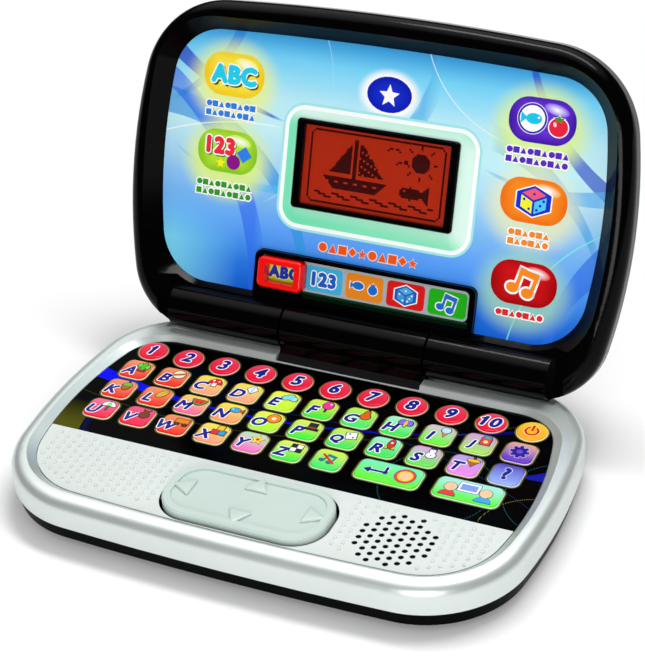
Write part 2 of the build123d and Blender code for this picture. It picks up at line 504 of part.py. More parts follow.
# display: frame, clear window, glass cell and driver board
frame = tile(0, LCD_S, LCD_W, LCD_H, 2, -PANEL_T + 0.02, LCD_RISE)
frame = chamfer(frame.edges().group_by(Axis.Z)[-1], 0.7)
WIN_W = LCD_W - 2 * LCD_RIM
WIN_H = LCD_H - 2 * LCD_RIM * 0.6
frame -= block(-WIN_W / 2, WIN_W / 2, LCD_S - WIN_H / 2, LCD_S + WIN_H / 2, -9, 9)
save("display_frame", frame, LID)
save("display_window", block(-WIN_W / 2 + 0.1, WIN_W / 2 - 0.1, LCD_S - WIN_H / 2 + 0.1,
                             LCD_S + WIN_H / 2 - 0.1, -0.2, 0.8), LID)
GLASS_X = LCD_W / 2 - 2.2
GLASS_S = LCD_H / 2 - 2.2
save("display_glass", block(-GLASS_X, GLASS_X, LCD_S - GLASS_S, LCD_S + GLASS_S,
                            FLOOR_BACK, FLOOR_FRONT - 0.1), LID)
save("display_board", block(-GLASS_X - 4, GLASS_X + 4, LCD_S - GLASS_S - 6, LCD_S + GLASS_S + 4,
                            FLOOR_BACK - 1.8, FLOOR_BACK - 0.2), LID)

# ---- mode selector: label strip, slider, shoe with wiper, switch board ----------------------
save("mode_label_strip", tile((HOUSE_L + HOUSE_R) / 2 - 1.2, STRIP_S + 0.1, HOUSE_R - HOUSE_L - 6.4,
                              SLIDER_H - 0.8, 2.5, FLOOR_FRONT + 0.02, FLOOR_FRONT + 0.6), LID)
slider = tile(CELL_ONE_X, STRIP_S, SLIDER_W, SLIDER_H, 3.2, FLOOR_FRONT + 1, SLIDER_TOP)
slider = fillet(slider.edges().group_by(Axis.Z)[-1], 1.8)
slider -= tile(CELL_ONE_X, STRIP_S, SLIDER_W - 8.8, SLIDER_H - 6.6, 1.2, -9, 20)
save("mode_slider", slider, LID)
shoe = block(CELL_ONE_X - 8, CELL_ONE_X + 8, SLOT_LOW + 0.4, SLOT_LOW + 1.95, FLOOR_BACK - 1, 0.6)
shoe += block(CELL_ONE_X - 9, CELL_ONE_X + 9, SLOT_LOW + 0.4, STRIP_S + 4, FLOOR_BACK - 2.2, FLOOR_BACK - 0.4)
save("mode_slider_shoe", shoe, LID)
wiper = block(CELL_ONE_X - 5, CELL_ONE_X + 5, STRIP_S - 4, STRIP_S + 2, FLOOR_BACK - 2.5, FLOOR_BACK - 2.2)
for k in (-1, 0, 1):
    x = CELL_ONE_X + 3 * k
    wiper += block(x - 0.7, x + 0.7, STRIP_S - 3, STRIP_S + 1, FLOOR_BACK - 2.8, FLOOR_BACK - 2.4)
save("mode_slider_wiper", wiper, LID)
switch = block(HOUSE_L + 2, HOUSE_R - 2, PANEL_BOTTOM + 1, HOUSE_TOP, FLOOR_BACK - 4.3, FLOOR_BACK - 3.1)
save("mode_switch_board", switch, LID)
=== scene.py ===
from math import cos, pi, radians, sin

import bpy
from mathutils import Matrix, Vector


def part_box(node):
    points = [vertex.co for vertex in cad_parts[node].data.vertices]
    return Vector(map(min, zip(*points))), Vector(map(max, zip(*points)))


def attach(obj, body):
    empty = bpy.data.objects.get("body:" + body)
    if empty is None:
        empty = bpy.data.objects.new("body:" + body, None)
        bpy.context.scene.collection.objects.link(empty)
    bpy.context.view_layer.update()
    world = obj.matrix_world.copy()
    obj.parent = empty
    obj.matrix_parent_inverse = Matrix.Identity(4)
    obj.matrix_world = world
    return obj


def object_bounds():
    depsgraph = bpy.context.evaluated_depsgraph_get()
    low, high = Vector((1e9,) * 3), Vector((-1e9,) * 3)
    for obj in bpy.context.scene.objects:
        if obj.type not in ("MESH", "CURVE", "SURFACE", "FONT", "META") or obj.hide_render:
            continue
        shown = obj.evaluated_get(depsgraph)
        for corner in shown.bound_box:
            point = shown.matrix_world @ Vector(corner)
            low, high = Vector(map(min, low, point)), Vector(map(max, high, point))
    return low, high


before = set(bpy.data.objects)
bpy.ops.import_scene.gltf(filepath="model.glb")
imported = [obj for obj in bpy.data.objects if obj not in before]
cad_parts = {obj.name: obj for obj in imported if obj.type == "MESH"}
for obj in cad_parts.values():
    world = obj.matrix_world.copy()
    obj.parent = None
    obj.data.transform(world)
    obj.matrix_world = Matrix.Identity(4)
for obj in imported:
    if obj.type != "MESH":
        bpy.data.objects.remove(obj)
cad_box = [list(corner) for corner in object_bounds()]


# ---- Camera, floor and studio lamps ----
# The camera stands in front of the laptop, to its right and above it, and looks down on the keys.
# The floor is a pale sheet that runs out to white, and two large soft lamps light the object.
bpy.ops.object.camera_add(location=(0.3437, -0.657, 0.5657),
                          rotation=(radians(57.003), radians(3.106), radians(24.342)))
camera = bpy.context.object
camera.data.lens = 104.53
camera.data.sensor_width = 36
camera.data.clip_start = 0.05
bpy.context.scene.camera = camera
bpy.context.scene.view_settings.view_transform = 'Standard'


def soft_lamp(name, place, aim, width, length, power):
    """Rectangular lamp that points from its place to its aim."""
    bpy.ops.object.light_add(type='AREA', location=place)
    lamp = bpy.context.object
    lamp.name = name
    lamp.data.shape = 'RECTANGLE'
    lamp.data.size, lamp.data.size_y = width, length
    lamp.data.energy = power
    lamp.rotation_euler = (Vector(aim) - Vector(place)).to_track_quat('-Z', 'Y').to_euler()


soft_lamp("lamp_over", (0.06, 0.29, 0.95), (0, 0, 0.03), 0.7, 0.16, 5.4)
soft_lamp("lamp_front", (0.4, -1.15, 0.42), (0, 0, 0.1), 0.5, 0.5, 7.0)
world = bpy.data.worlds.new("studio_air")
bpy.context.scene.world = world
world.use_nodes = True
air = world.node_tree
background = air.nodes["Background"]
background.inputs["Color"].default_value = (1, 1, 1, 1)
ray = air.nodes.new("ShaderNodeLightPath")
direction = air.nodes.new("ShaderNodeTexCoord")
lean = air.nodes.new("ShaderNodeVectorMath")
lean.operation = 'DOT_PRODUCT'
lean.inputs[1].default_value = (-0.2, 0.3, 1)
tent = air.nodes.new("ShaderNodeMapRange")
tent.inputs["From Min"].default_value = 0.72
tent.inputs["From Max"].default_value = 1.0
tent.inputs["To Min"].default_value = 0.05
tent.inputs["To Max"].default_value = 2.1
mirrored = air.nodes.new("ShaderNodeMix")
mirrored.inputs["A"].default_value = 0.52
seen = air.nodes.new("ShaderNodeMath")
seen.operation = 'MAXIMUM'
level = air.nodes.new("ShaderNodeMix")
level.inputs["B"].default_value = 1.0
air.links.new(direction.outputs["Generated"], lean.inputs[0])
air.links.new(lean.outputs["Value"], tent.inputs["Value"])
air.links.new(ray.outputs["Is Glossy Ray"], mirrored.inputs["Factor"])
air.links.new(tent.outputs["Result"], mirrored.inputs["B"])
air.links.new(ray.outputs["Is Camera Ray"], seen.inputs[0])
air.links.new(ray.outputs["Is Transmission Ray"], seen.inputs[1])
air.links.new(seen.outputs[0], level.inputs["Factor"])
air.links.new(mirrored.outputs["Result"], level.inputs["A"])
air.links.new(level.outputs["Result"], background.inputs["Strength"])

bpy.ops.mesh.primitive_plane_add(size=9, location=(0, 0, cad_box[0][2] - 0.0002))
floor = bpy.context.object
floor.name = "floor"
paper = bpy.data.materials.new("floor_paper")
paper.use_nodes = True
floor.data.materials.append(paper)
nodes, links = paper.node_tree.nodes, paper.node_tree.links
nodes["Principled BSDF"].inputs["Base Color"].default_value = (0.98, 0.98, 0.98, 1)
nodes["Principled BSDF"].inputs["Roughness"].default_value = 0.9
place = nodes.new("ShaderNodeTexCoord")
away = nodes.new("ShaderNodeVectorMath")
away.operation = 'LENGTH'
fade = nodes.new("ShaderNodeMapRange")
fade.inputs["From Min"].default_value = 0.17
fade.inputs["From Max"].default_value = 0.3
ray = nodes.new("ShaderNodeLightPath")
seen = nodes.new("ShaderNodeMath")
seen.operation = 'MAXIMUM'
share = nodes.new("ShaderNodeMath")
share.operation = 'MULTIPLY'
white = nodes.new("ShaderNodeEmission")
blend = nodes.new("ShaderNodeMixShader")
links.new(place.outputs["Object"], away.inputs[0])
links.new(away.outputs["Value"], fade.inputs["Value"])
links.new(ray.outputs["Is Camera Ray"], seen.inputs[0])
links.new(ray.outputs["Is Glossy Ray"], seen.inputs[1])
links.new(fade.outputs["Result"], share.inputs[0])
links.new(seen.outputs[0], share.inputs[1])
links.new(share.outputs[0], blend.inputs[0])
links.new(nodes["Principled BSDF"].outputs[0], blend.inputs[1])
links.new(white.outputs[0], blend.inputs[2])
links.new(blend.outputs[0], nodes["Material Output"].inputs["Surface"])


# ---- Black mouldings of base and lid ----
# The bottom shell, the lid halves, the hinge knuckle and the display frame are gloss black ABS.
# The tool was polished, so only a faint orange peel and a few soft smears show on them.
def linear(code):
    """Colour given as six hex digits, as the shader wants it."""
    parts = [int(code[i:i + 2], 16) / 255 for i in (0, 2, 4)]
    return tuple(p / 12.92 if p < 0.04045 else ((p + 0.055) / 1.055) ** 2.4 for p in parts) + (1.0,)


def plastic(name, colour, rough, grain=900.0, grain_height=0.00002, mirror=0.5):
    """Moulded plastic: fine grain in the height, and slow changes of gloss and tone."""
    material = bpy.data.materials.new(name)
    material.use_nodes = True
    nodes, links = material.node_tree.nodes, material.node_tree.links
    shader = nodes["Principled BSDF"]
    place = nodes.new("ShaderNodeTexCoord")
    smear = nodes.new("ShaderNodeTexNoise")
    smear.inputs["Scale"].default_value = 28
    smear.inputs["Detail"].default_value = 3
    gloss = nodes.new("ShaderNodeMapRange")
    gloss.inputs["To Min"].default_value = rough * 0.85
    gloss.inputs["To Max"].default_value = rough * 1.2
    tone = nodes.new("ShaderNodeMix")
    tone.data_type = 'RGBA'
    tone.inputs[6].default_value = tuple(c * 0.95 for c in colour[:3]) + (1,)
    tone.inputs[7].default_value = tuple(min(1, c * 1.05) for c in colour[:3]) + (1,)
    fine = nodes.new("ShaderNodeTexNoise")
    fine.inputs["Scale"].default_value = grain
    bump = nodes.new("ShaderNodeBump")
    bump.inputs["Distance"].default_value = grain_height
    links.new(place.outputs["Object"], smear.inputs["Vector"])
    links.new(place.outputs["Object"], fine.inputs["Vector"])
    links.new(smear.outputs["Fac"], gloss.inputs["Value"])
    links.new(smear.outputs["Fac"], tone.inputs[0])
    links.new(gloss.outputs["Result"], shader.inputs["Roughness"])
    links.new(tone.outputs[2], shader.inputs["Base Color"])
    links.new(fine.outputs["Fac"], bump.inputs["Height"])
    links.new(bump.outputs["Normal"], shader.inputs["Normal"])
    shader.inputs["Specular IOR Level"].default_value = mirror
    return material


def dress(names, material):
    """Give CAD nodes their finish."""
    for name in names:
        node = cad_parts[name]
        node.data.materials.clear()
        node.data.materials.append(material)


dress(["lid_front_bezel", "lid_back_shell", "hinge_knuckle", "display_frame", "mode_slider_shoe"],
      plastic("black_abs", linear("020203"), 0.12, mirror=0.08))
dress(["base_bottom_shell", "battery_door"], plastic("shell_abs", linear("010102"), 0.36, mirror=0.03))


# ---- Silver case ----
# The upper half of the base is ABS painted in satin silver, with fine flakes in the paint.
# Its rim rolls into the sunk field, and its trough takes the lid's barrels.
silver = plastic("silver_paint", linear("d6dedb"), 0.34, grain=1100, grain_height=0.000003)
silver.node_tree.nodes["Principled BSDF"].inputs["Metallic"].default_value = 0.6
dress(["base_top_case"], silver)


# ---- Palm rest ----
# The palm rest is a pale grey plate, painted near-black as painted shade on its faces more than 0.3 mm below
# its top, such as the walls of the grille holes. Rows of low round dots stand on it left and right of the
# pad.
# The dots share the lattice of the loudspeaker's holes, and leave room round them.
MM = 0.001
palm = plastic("palm_abs", linear("d8dfdb"), 0.42, grain=1800, grain_height=0.00001)
low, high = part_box("palm_rest")
speaker_low, speaker_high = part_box("speaker_basket")
speaker = (speaker_low + speaker_high) / 2
nodes, links = palm.node_tree.nodes, palm.node_tree.links
shader = nodes["Principled BSDF"]
place = nodes.new("ShaderNodeTexCoord")
axes = nodes.new("ShaderNodeSeparateXYZ")
# Painted shade: faces lower than 0.3 mm under the plate's top, the walls of the grille holes among them, take
# a near-black colour.
below = nodes.new("ShaderNodeMath")
below.operation = 'LESS_THAN'
below.inputs[1].default_value = high.z - 0.3 * MM
hole_shade = nodes.new("ShaderNodeMix")
hole_shade.data_type = 'RGBA'
hole_shade.inputs[7].default_value = linear("060607")
links.new(place.outputs["Object"], axes.inputs[0])
links.new(axes.outputs["Z"], below.inputs[0])
links.new(below.outputs[0], hole_shade.inputs[0])
links.new(shader.inputs["Base Color"].links[0].from_socket, hole_shade.inputs[6])
links.new(hole_shade.outputs[2], shader.inputs["Base Color"])
dress(["palm_rest"], palm)
column_pitch, dot_pitch, dot_radius = 4.63 * MM, 4.5 * MM, 0.95 * MM
bpy.ops.object.select_all(action='DESELECT')
bpy.ops.mesh.primitive_uv_sphere_add(segments=8, ring_count=6, radius=dot_radius, location=(0, 0, 0))
dot = bpy.context.object
bpy.ops.object.mode_set(mode='EDIT')
bpy.ops.mesh.select_all(action='SELECT')
bpy.ops.mesh.bisect(plane_co=(0, 0, 0.05 * MM), plane_no=(0, 0, 1), clear_inner=True, use_fill=True)
bpy.ops.mesh.select_all(action='SELECT')
bpy.ops.transform.resize(value=(1, 1, 0.95))
bpy.ops.object.mode_set(mode='OBJECT')
bpy.ops.object.shade_smooth()


def on_dot_area(x, y):
    """True where the plate carries dots: beside the pad, off the grille and off the plate's edges."""
    beside = 44 * MM < abs(x) < 113 * MM and low.y + 6 * MM < y < high.y - 3 * MM
    corner = Vector((max(0, abs(x) - 83.5 * MM), max(0, low.y + 38 * MM - y)))
    off_grille = (Vector((x, y)) - Vector((speaker.x, speaker.y))).length > 20.5 * MM
    return beside and corner.length < 32 * MM and off_grille


def laid(mesh, place, parts):
    """Add a copy of a mesh, moved by a matrix, to a list of parts."""
    mesh.transform(place)
    sheet = bpy.data.objects.new("part", mesh)
    bpy.context.scene.collection.objects.link(sheet)
    parts.append(sheet)


def joined(name, parts, material, body):
    """Join parts to one piece that rides on a body and has its place in its mesh."""
    bpy.ops.object.select_all(action='DESELECT')
    for part in parts:
        part.select_set(True)
    bpy.context.view_layer.objects.active = parts[0]
    bpy.ops.object.join()
    piece = bpy.context.object
    piece.name = name
    piece.data.materials.clear()
    piece.data.materials.append(material)
    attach(piece, body)
    return piece


dots = []
for i in range(-42, 13):
    for j in range(-7, 8):
        x = speaker.x + (i - 0.5) * column_pitch
        y = speaker.y + j * dot_pitch + (1.3 * MM if i % 2 else -0.9 * MM)
        if on_dot_area(x, y):
            laid(dot.data.copy(), Matrix.Translation((x, y, high.z - 0.06 * MM)), dots)
bpy.data.objects.remove(dot)
joined("palm_rest_dots", dots, palm, "base")


# ---- Cursor pad ----
# The cap is one pale grey-green moulding with a raised rim and four low arrows.
# It rocks on the gimbal below it, so a dark gap runs round it.
pad = plastic("pad_abs", linear("c3d3cc"), 0.36, grain=1500, grain_height=0.00001)
dress(["cursor_pad_cap"], pad)
low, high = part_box("cursor_pad_cap")
middle = (low + high) / 2
bpy.ops.object.select_all(action='DESELECT')
bpy.ops.mesh.primitive_cone_add(vertices=3, radius1=7.2 * MM, radius2=5.6 * MM, depth=0.7 * MM,
                                location=(0, 0, 0))
arrow = bpy.context.object
bpy.ops.object.mode_set(mode='EDIT')
bpy.ops.mesh.select_all(action='SELECT')
bpy.ops.mesh.bevel(offset=0.3 * MM, segments=2, affect='EDGES')
bpy.ops.object.mode_set(mode='OBJECT')
bpy.ops.object.shade_smooth_by_angle(angle=radians(40))
arrows = []
for turn, reach in ((0, 11.2), (90, 32), (180, 11.2), (270, 32)):
    place = Matrix.Translation((middle.x, middle.y, high.z)) @ Matrix.Rotation(radians(turn), 4, 'Z')
    laid(arrow.data.copy(), place @ Matrix.Translation((0, reach * MM, 0)), arrows)
bpy.data.objects.remove(arrow)
joined("cursor_pad_arrows", arrows, pad, "pad")


# ---- Keyboard film ----
# The film is clear plastic printed black from below, so it is very glossy. A royal blue band
# sweeps across it and thins out, with fine dotted arcs beside it and an olive patch at one corner.
def arc_band(nodes, links, point, centre, radius, half, soft):
    """Mask that is 1 on an arc round the centre; half is a number or a socket."""
    distance = nodes.new("ShaderNodeVectorMath")
    distance.operation = 'DISTANCE'
    distance.inputs[1].default_value = centre + (0,)
    away = nodes.new("ShaderNodeMath")
    away.operation = 'SUBTRACT'
    away.inputs[1].default_value = radius
    size = nodes.new("ShaderNodeMath")
    size.operation = 'ABSOLUTE'
    edge = nodes.new("ShaderNodeMath")
    edge.operation = 'SUBTRACT'
    mask = nodes.new("ShaderNodeMath")
    mask.operation = 'DIVIDE'
    mask.use_clamp = True
    mask.inputs[1].default_value = soft
    links.new(point, distance.inputs[0])
    links.new(distance.outputs["Value"], away.inputs[0])
    links.new(away.outputs[0], size.inputs[0])
    if isinstance(half, (int, float)):
        edge.inputs[0].default_value = half
    else:
        links.new(half, edge.inputs[0])
    links.new(size.outputs[0], edge.inputs[1])
    links.new(edge.outputs[0], mask.inputs[0])
    return mask.outputs[0]


def ramp(nodes, links, value, from_min, from_max, to_min, to_max):
    """Straight ramp of a value, clamped at both ends."""
    node = nodes.new("ShaderNodeMapRange")
    for name, number in (("From Min", from_min), ("From Max", from_max),
                         ("To Min", to_min), ("To Max", to_max)):
        node.inputs[name].default_value = number
    links.new(value, node.inputs["Value"])
    return node.outputs["Result"]


def over(nodes, links, below, colour, mask, strength=1.0):
    """Print a colour over what is below it."""
    part = nodes.new("ShaderNodeMath")
    part.operation = 'MULTIPLY'
    part.inputs[1].default_value = strength
    blend = nodes.new("ShaderNodeMix")
    blend.data_type = 'RGBA'
    blend.inputs[7].default_value = colour
    links.new(mask, part.inputs[0])
    links.new(part.outputs[0], blend.inputs[0])
    links.new(below, blend.inputs[6])
    return blend.outputs[2]


def times(nodes, links, *masks):
    """Product of masks."""
    value = masks[0]
    for mask in masks[1:]:
        node = nodes.new("ShaderNodeMath")
        node.operation = 'MULTIPLY'
        links.new(value, node.inputs[0])
        links.new(mask, node.inputs[1])
        value = node.outputs[0]
    return value


def flat_point(nodes, links, place=(0, 0, 0), turn=0.0):
    """Object coordinates in millimetres on a plane with this place and turn, without its height."""
    coordinates = nodes.new("ShaderNodeTexCoord")
    mapping = nodes.new("ShaderNodeMapping")
    mapping.vector_type = 'TEXTURE'
    mapping.inputs["Location"].default_value = place
    mapping.inputs["Rotation"].default_value = (turn, 0, 0)
    mapping.inputs["Scale"].default_value = (MM, MM, MM)
    flat = nodes.new("ShaderNodeVectorMath")
    flat.operation = 'MULTIPLY'
    flat.inputs[1].default_value = (1, 1, 0)
    axes = nodes.new("ShaderNodeSeparateXYZ")
    links.new(coordinates.outputs["Object"], mapping.inputs["Vector"])
    links.new(mapping.outputs["Vector"], flat.inputs[0])
    links.new(flat.outputs["Vector"], axes.inputs[0])
    return flat.outputs["Vector"], axes.outputs["X"], axes.outputs["Y"]


film = plastic("printed_film", linear("010102"), 0.12, grain=700, grain_height=0.000006, mirror=0.015)
nodes, links = film.node_tree.nodes, film.node_tree.links
shader = nodes["Principled BSDF"]
point, x_mm, y_mm = flat_point(nodes, links)
dash = nodes.new("ShaderNodeTexWave")
dash.bands_direction = 'X'
dash.inputs["Scale"].default_value = 0.35
links.new(point, dash.inputs["Vector"])
dashes = ramp(nodes, links, dash.outputs["Fac"], 0.45, 0.55, 0, 1)
ground = shader.inputs["Base Color"].links[0].from_socket
band_half = ramp(nodes, links, x_mm, -122, -55, 4.7, 1.0)
band = arc_band(nodes, links, point, (-42, 325.5), 313.3, band_half, 0.4)
fade = ramp(nodes, links, x_mm, -110, 60, 1.0, 0.22)
ground = over(nodes, links, ground, linear("0c0cf0"), times(nodes, links, band, fade))
for centre, radius, half, code in (((-60, 260), 262, 0.35, "4a4a12"), ((10, -190), 212, 0.3, "1b2f7a"),
                                   ((129, -27.7), 27.6, 0.3, "8a8426"), ((132.6, 1.8), 27, 0.3, "17606a"),
                                   ((75, -8), 27, 0.3, "17606a")):
    line = arc_band(nodes, links, point, centre, radius, half, 0.15)
    ground = over(nodes, links, ground, linear(code), times(nodes, links, line, dashes), 0.8)
outside = arc_band(nodes, links, point, (-44, -10), 122, 59.5, 0.3)
left_side = ramp(nodes, links, x_mm, -60, -61, 0, 1)
lower = ramp(nodes, links, y_mm, -22, -3, 1, 0)
ground = over(nodes, links, ground, linear("55550a"), times(nodes, links, outside, left_side, lower), 0.9)
ring = arc_band(nodes, links, point, (-44, -10), 60.5, 2.4, 2.4)
ring = times(nodes, links, ring, left_side, ramp(nodes, links, y_mm, -2, 6, 1, 0))
ground = over(nodes, links, ground, linear("080846"), ring)
right_patch = arc_band(nodes, links, point, (104, 44), 32, ramp(nodes, links, x_mm, 107, 121, 0.3, 4.2), 0.8)
right_patch = times(nodes, links, right_patch, ramp(nodes, links, x_mm, 106, 112, 0, 1),
                    ramp(nodes, links, y_mm, 34, 36, 1, 0))
ground = over(nodes, links, ground, linear("1c1cb0"), right_patch, 0.8)
links.new(ground, shader.inputs["Base Color"])
dress(["keyboard_film"], film)


# ---- Key domes ----
# Each key is a low dome embossed in the film and printed with a gradient from back to front.
# A pale line follows its flank, and a yellow-green glow is printed round its foot.
key_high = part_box("keyboard_film")[1]
pitch, row_pitch, key_size, wide_size, key_corner = 20.5 * MM, 18 * MM, 15.4 * MM, 32.4 * MM, 3.7 * MM
key_rise, halo, film_gap, behind_keys = 0.9 * MM, 0.9 * MM, 0.45 * MM, 5.3 * MM
film_z = key_high.z - key_rise
first_row = key_high.y + film_gap - behind_keys - key_size / 2
DOME = [(halo, 0.01 * MM), (0.22 * MM, 0.3 * MM), (0.2 * MM, 0.35 * MM), (0.35 * MM, 0.28 * MM),
        (0.8 * MM, 0.1 * MM), (1.2 * MM, 0.06 * MM)]


def raised(outline, steps):
    """Raise a flat face in rings: (inset, rise) one after the other."""
    bpy.ops.object.mode_set(mode='EDIT')
    bpy.ops.mesh.select_all(action='SELECT')
    for inset, rise in steps:
        bpy.ops.mesh.inset(thickness=inset, depth=rise)
    bpy.ops.object.mode_set(mode='OBJECT')
    bpy.ops.object.shade_smooth()
    return outline


def rounded_plate(width, length, corner, segments=6):
    """Flat plate with rounded corners, centred on the origin."""
    bpy.ops.object.select_all(action='DESELECT')
    bpy.ops.mesh.primitive_plane_add(size=1, location=(0, 0, 0))
    bpy.ops.object.mode_set(mode='EDIT')
    bpy.ops.mesh.select_all(action='SELECT')
    bpy.ops.transform.resize(value=(width, length, 1))
    bpy.ops.mesh.bevel(offset=corner, segments=segments, affect='VERTICES')
    bpy.ops.object.mode_set(mode='OBJECT')
    return bpy.context.object


def disc_plate(radius):
    """Flat disc, centred on the origin."""
    bpy.ops.object.select_all(action='DESELECT')
    bpy.ops.mesh.primitive_circle_add(vertices=40, radius=radius, fill_type='NGON', location=(0, 0, 0))
    return bpy.context.object


def between(a, b, part):
    """Colour between a and b."""
    return tuple(p + (q - p) * part for p, q in zip(a, b))


def colour_key(mesh, back, front, rim):
    """Print a key: olive glow to black round it, a pale flank, and a gradient over the dome."""
    ink = mesh.color_attributes.new("Ink", 'FLOAT_COLOR', 'CORNER')
    reach = max(v.co.y for v in mesh.vertices) - halo
    for face in mesh.polygons:
        top = max(mesh.vertices[v].co.z for v in face.vertices)
        for loop in face.loop_indices:
            spot = mesh.vertices[mesh.loops[loop].vertex_index].co
            if top < 0.02 * MM:
                ink.data[loop].color = linear("020203" if spot.z < 0.005 * MM else "7c7812")
            elif top < 0.4 * MM:
                ink.data[loop].color = linear(rim)
            else:
                ink.data[loop].color = between(linear(front), linear(back),
                                               max(0, 0.5 + spot.y / (2 * reach)) ** 1.4)


def key_centre(row, column):
    """Centre of a key on the film."""
    return Vector(((column - 5) * pitch, first_row - row * row_pitch, film_z + 0.03 * MM))


COLOURS = {
    "A": ("f2a374", "ee2418"), "B": ("f2a374", "ee2418"), "C": ("f7f04a", "f5a07a"),
    "D": ("f7f04a", "f5a07a"), "E": ("f6f45a", "bdf42e"), "F": ("f0ef52", "35e23a"),
    "G": ("c9f04e", "38e66c"), "H": ("b9f2dc", "36e24a"), "I": ("e3b7e0", "62ee22"),
    "J": ("dd8ce6", "9fe05a"), "K": ("f2a374", "ee2418"), "L": ("f2a374", "ee2418"),
    "M": ("f6e05c", "f0649a"), "N": ("f7f04a", "f59a6a"), "O": ("f6f45a", "a8f22e"),
    "P": ("f3f06a", "2fe83a"), "Q": ("d9f05a", "38e05c"), "R": ("a9f0d8", "34e04a"),
    "S": ("e59be6", "5fe04c"), "T": ("a9a9ec", "e985e4"), "U": ("f07aa4", "ec1e44"),
    "V": ("ee5f90", "ec1e44"), "W": ("f2a374", "ee2418"), "X": ("f7f04a", "f59a7a"),
    "Y": ("b0efb6", "ef6fc4"), "Z": ("f3f06a", "2fe83a"),
}
LETTERS = {letter: (1 + i // 10, i % 10) for i, letter in enumerate(sorted(COLOURS))}
square_key = raised(rounded_plate(key_size + 2 * halo, key_size + 2 * halo, key_corner + halo), DOME)
wide_key = raised(rounded_plate(wide_size + 2 * halo, key_size + 2 * halo, key_corner + halo), DOME)
disc_key = raised(disc_plate(key_size / 2 + halo), DOME)
KEYS = [(disc_key, 0, column, "f2476a", "e20a30", "ffb9c4") for column in range(10)]
KEYS += [(disc_key, 0, 10, "f9cf3e", "f4a81c", "fff2c0")]
KEYS += [(square_key, *LETTERS[letter], *COLOURS[letter], "f4f3c8") for letter in sorted(COLOURS)]
KEYS += [(square_key, 1, 10, "f2b18c", "5a2bc0", "e9dcf4"), (square_key, 2, 10, "4a28b8", "8fa8ee", "dfe4fa"),
         (square_key, 3, 6, "e4f05a", "30e66c", "f0f6cc"), (wide_key, 3, 7.5, "7ff0c8", "66ee22", "d8f8dc"),
         (wide_key, 3, 9.41, "b4ecf2", "5cf02c", "dcf6ee")]
keys = []
for shape, row, column, back, front, rim in KEYS:
    mesh = shape.data.copy()
    colour_key(mesh, back, front, rim)
    laid(mesh, Matrix.Translation(key_centre(row, column)), keys)
for shape in (square_key, wide_key, disc_key):
    bpy.data.objects.remove(shape)


def printed(name):
    """Ink under a clear gloss: the colour comes from the piece's own Ink attribute."""
    material = plastic(name, linear("bcbcbc"), 0.18, grain=500, grain_height=0.000008, mirror=0.12)
    nodes, links = material.node_tree.nodes, material.node_tree.links
    ink = nodes.new("ShaderNodeVertexColor")
    ink.layer_name = "Ink"
    speck = nodes.new("ShaderNodeTexNoise")
    speck.inputs["Scale"].default_value = 2200
    shade = nodes.new("ShaderNodeMapRange")
    shade.inputs["To Min"].default_value = 0.93
    shade.inputs["To Max"].default_value = 1.07
    tint = nodes.new("ShaderNodeVectorMath")
    tint.operation = 'SCALE'
    links.new(speck.outputs["Fac"], shade.inputs["Value"])
    links.new(ink.outputs["Color"], tint.inputs[0])
    links.new(shade.outputs["Result"], tint.inputs["Scale"])
    links.new(tint.outputs["Vector"], nodes["Principled BSDF"].inputs["Base Color"])
    return material


ink_print = printed("ink_print")
joined("key_domes", keys, ink_print, "base")


# ---- Letters and numbers of the keys ----
# Navy italic letters stand low on the left of each letter key, and numbers in the middle of the discs.
# Each has a white edge, printed below it and a little wider. The flags of 1 and 10 are plain forms,
# like those of all the pictures further on.
FORMS = {}


def paint(mesh, colour, middle=None):
    """Give a flat mesh one ink, or two that run into each other from the rim to the middle."""
    ink = mesh.color_attributes.new("Ink", 'FLOAT_COLOR', 'CORNER')
    for i, loop in enumerate(mesh.loops):
        at_middle = middle and mesh.vertices[loop.vertex_index].co.xy.length < 0.01
        ink.data[i].color = linear(middle if at_middle else colour)


def text_mesh(text, slant):
    """Flat mesh of a text."""
    bpy.ops.object.select_all(action='DESELECT')
    bpy.ops.object.text_add(location=(0, 0, 0))
    curve = bpy.context.object.data
    curve.body = text
    curve.shear = slant
    curve.space_character = 1.12
    curve.resolution_u = 3
    bpy.ops.object.convert(target='MESH')
    mesh = bpy.context.object.data.copy()
    bpy.data.objects.remove(bpy.context.object)
    return mesh


def word(parts, text, spot, height, ink, edge=None, width=0.6, rise=0.02, bold=0.3, slant=0.0):
    """Print a text with its middle on a spot; bold and edge widen its strokes; all in millimetres."""
    body = text_mesh(text, slant)
    xs, ys = [v.co.x for v in body.vertices], [v.co.y for v in body.vertices]
    scale = (height - 2 * bold) * MM / (max(ys) - min(ys))
    body.transform(Matrix.Translation((-(min(xs) + max(xs)) / 2, -(min(ys) + max(ys)) / 2, 0)))
    strokes = [(ink, bold, 8, rise + 0.04)] + ([(edge, bold + width, 12, rise)] if edge else [])
    for colour, reach, count, level in strokes:
        for k in range(count):
            mesh = body.copy()
            paint(mesh, colour)
            angle = 2 * pi * k / count
            away = Vector((reach * cos(angle), reach * sin(angle), level + 0.001 * k))
            place = Matrix.Translation((Vector((*spot[:2], 0)) + away) * MM)
            laid(mesh, place @ Matrix.Scale(scale, 4), parts)


def keep_form(name):
    """Store the active flat mesh as a form that fills a square of one by one."""
    mesh = bpy.context.object.data.copy()
    bpy.data.objects.remove(bpy.context.object)
    xs, ys = [v.co.x for v in mesh.vertices], [v.co.y for v in mesh.vertices]
    mesh.transform(Matrix.Translation((-(min(xs) + max(xs)) / 2, -(min(ys) + max(ys)) / 2, 0)))
    mesh.transform(Matrix.Diagonal((1 / (max(xs) - min(xs)), 1 / (max(ys) - min(ys)), 1, 1)))
    FORMS[name] = mesh


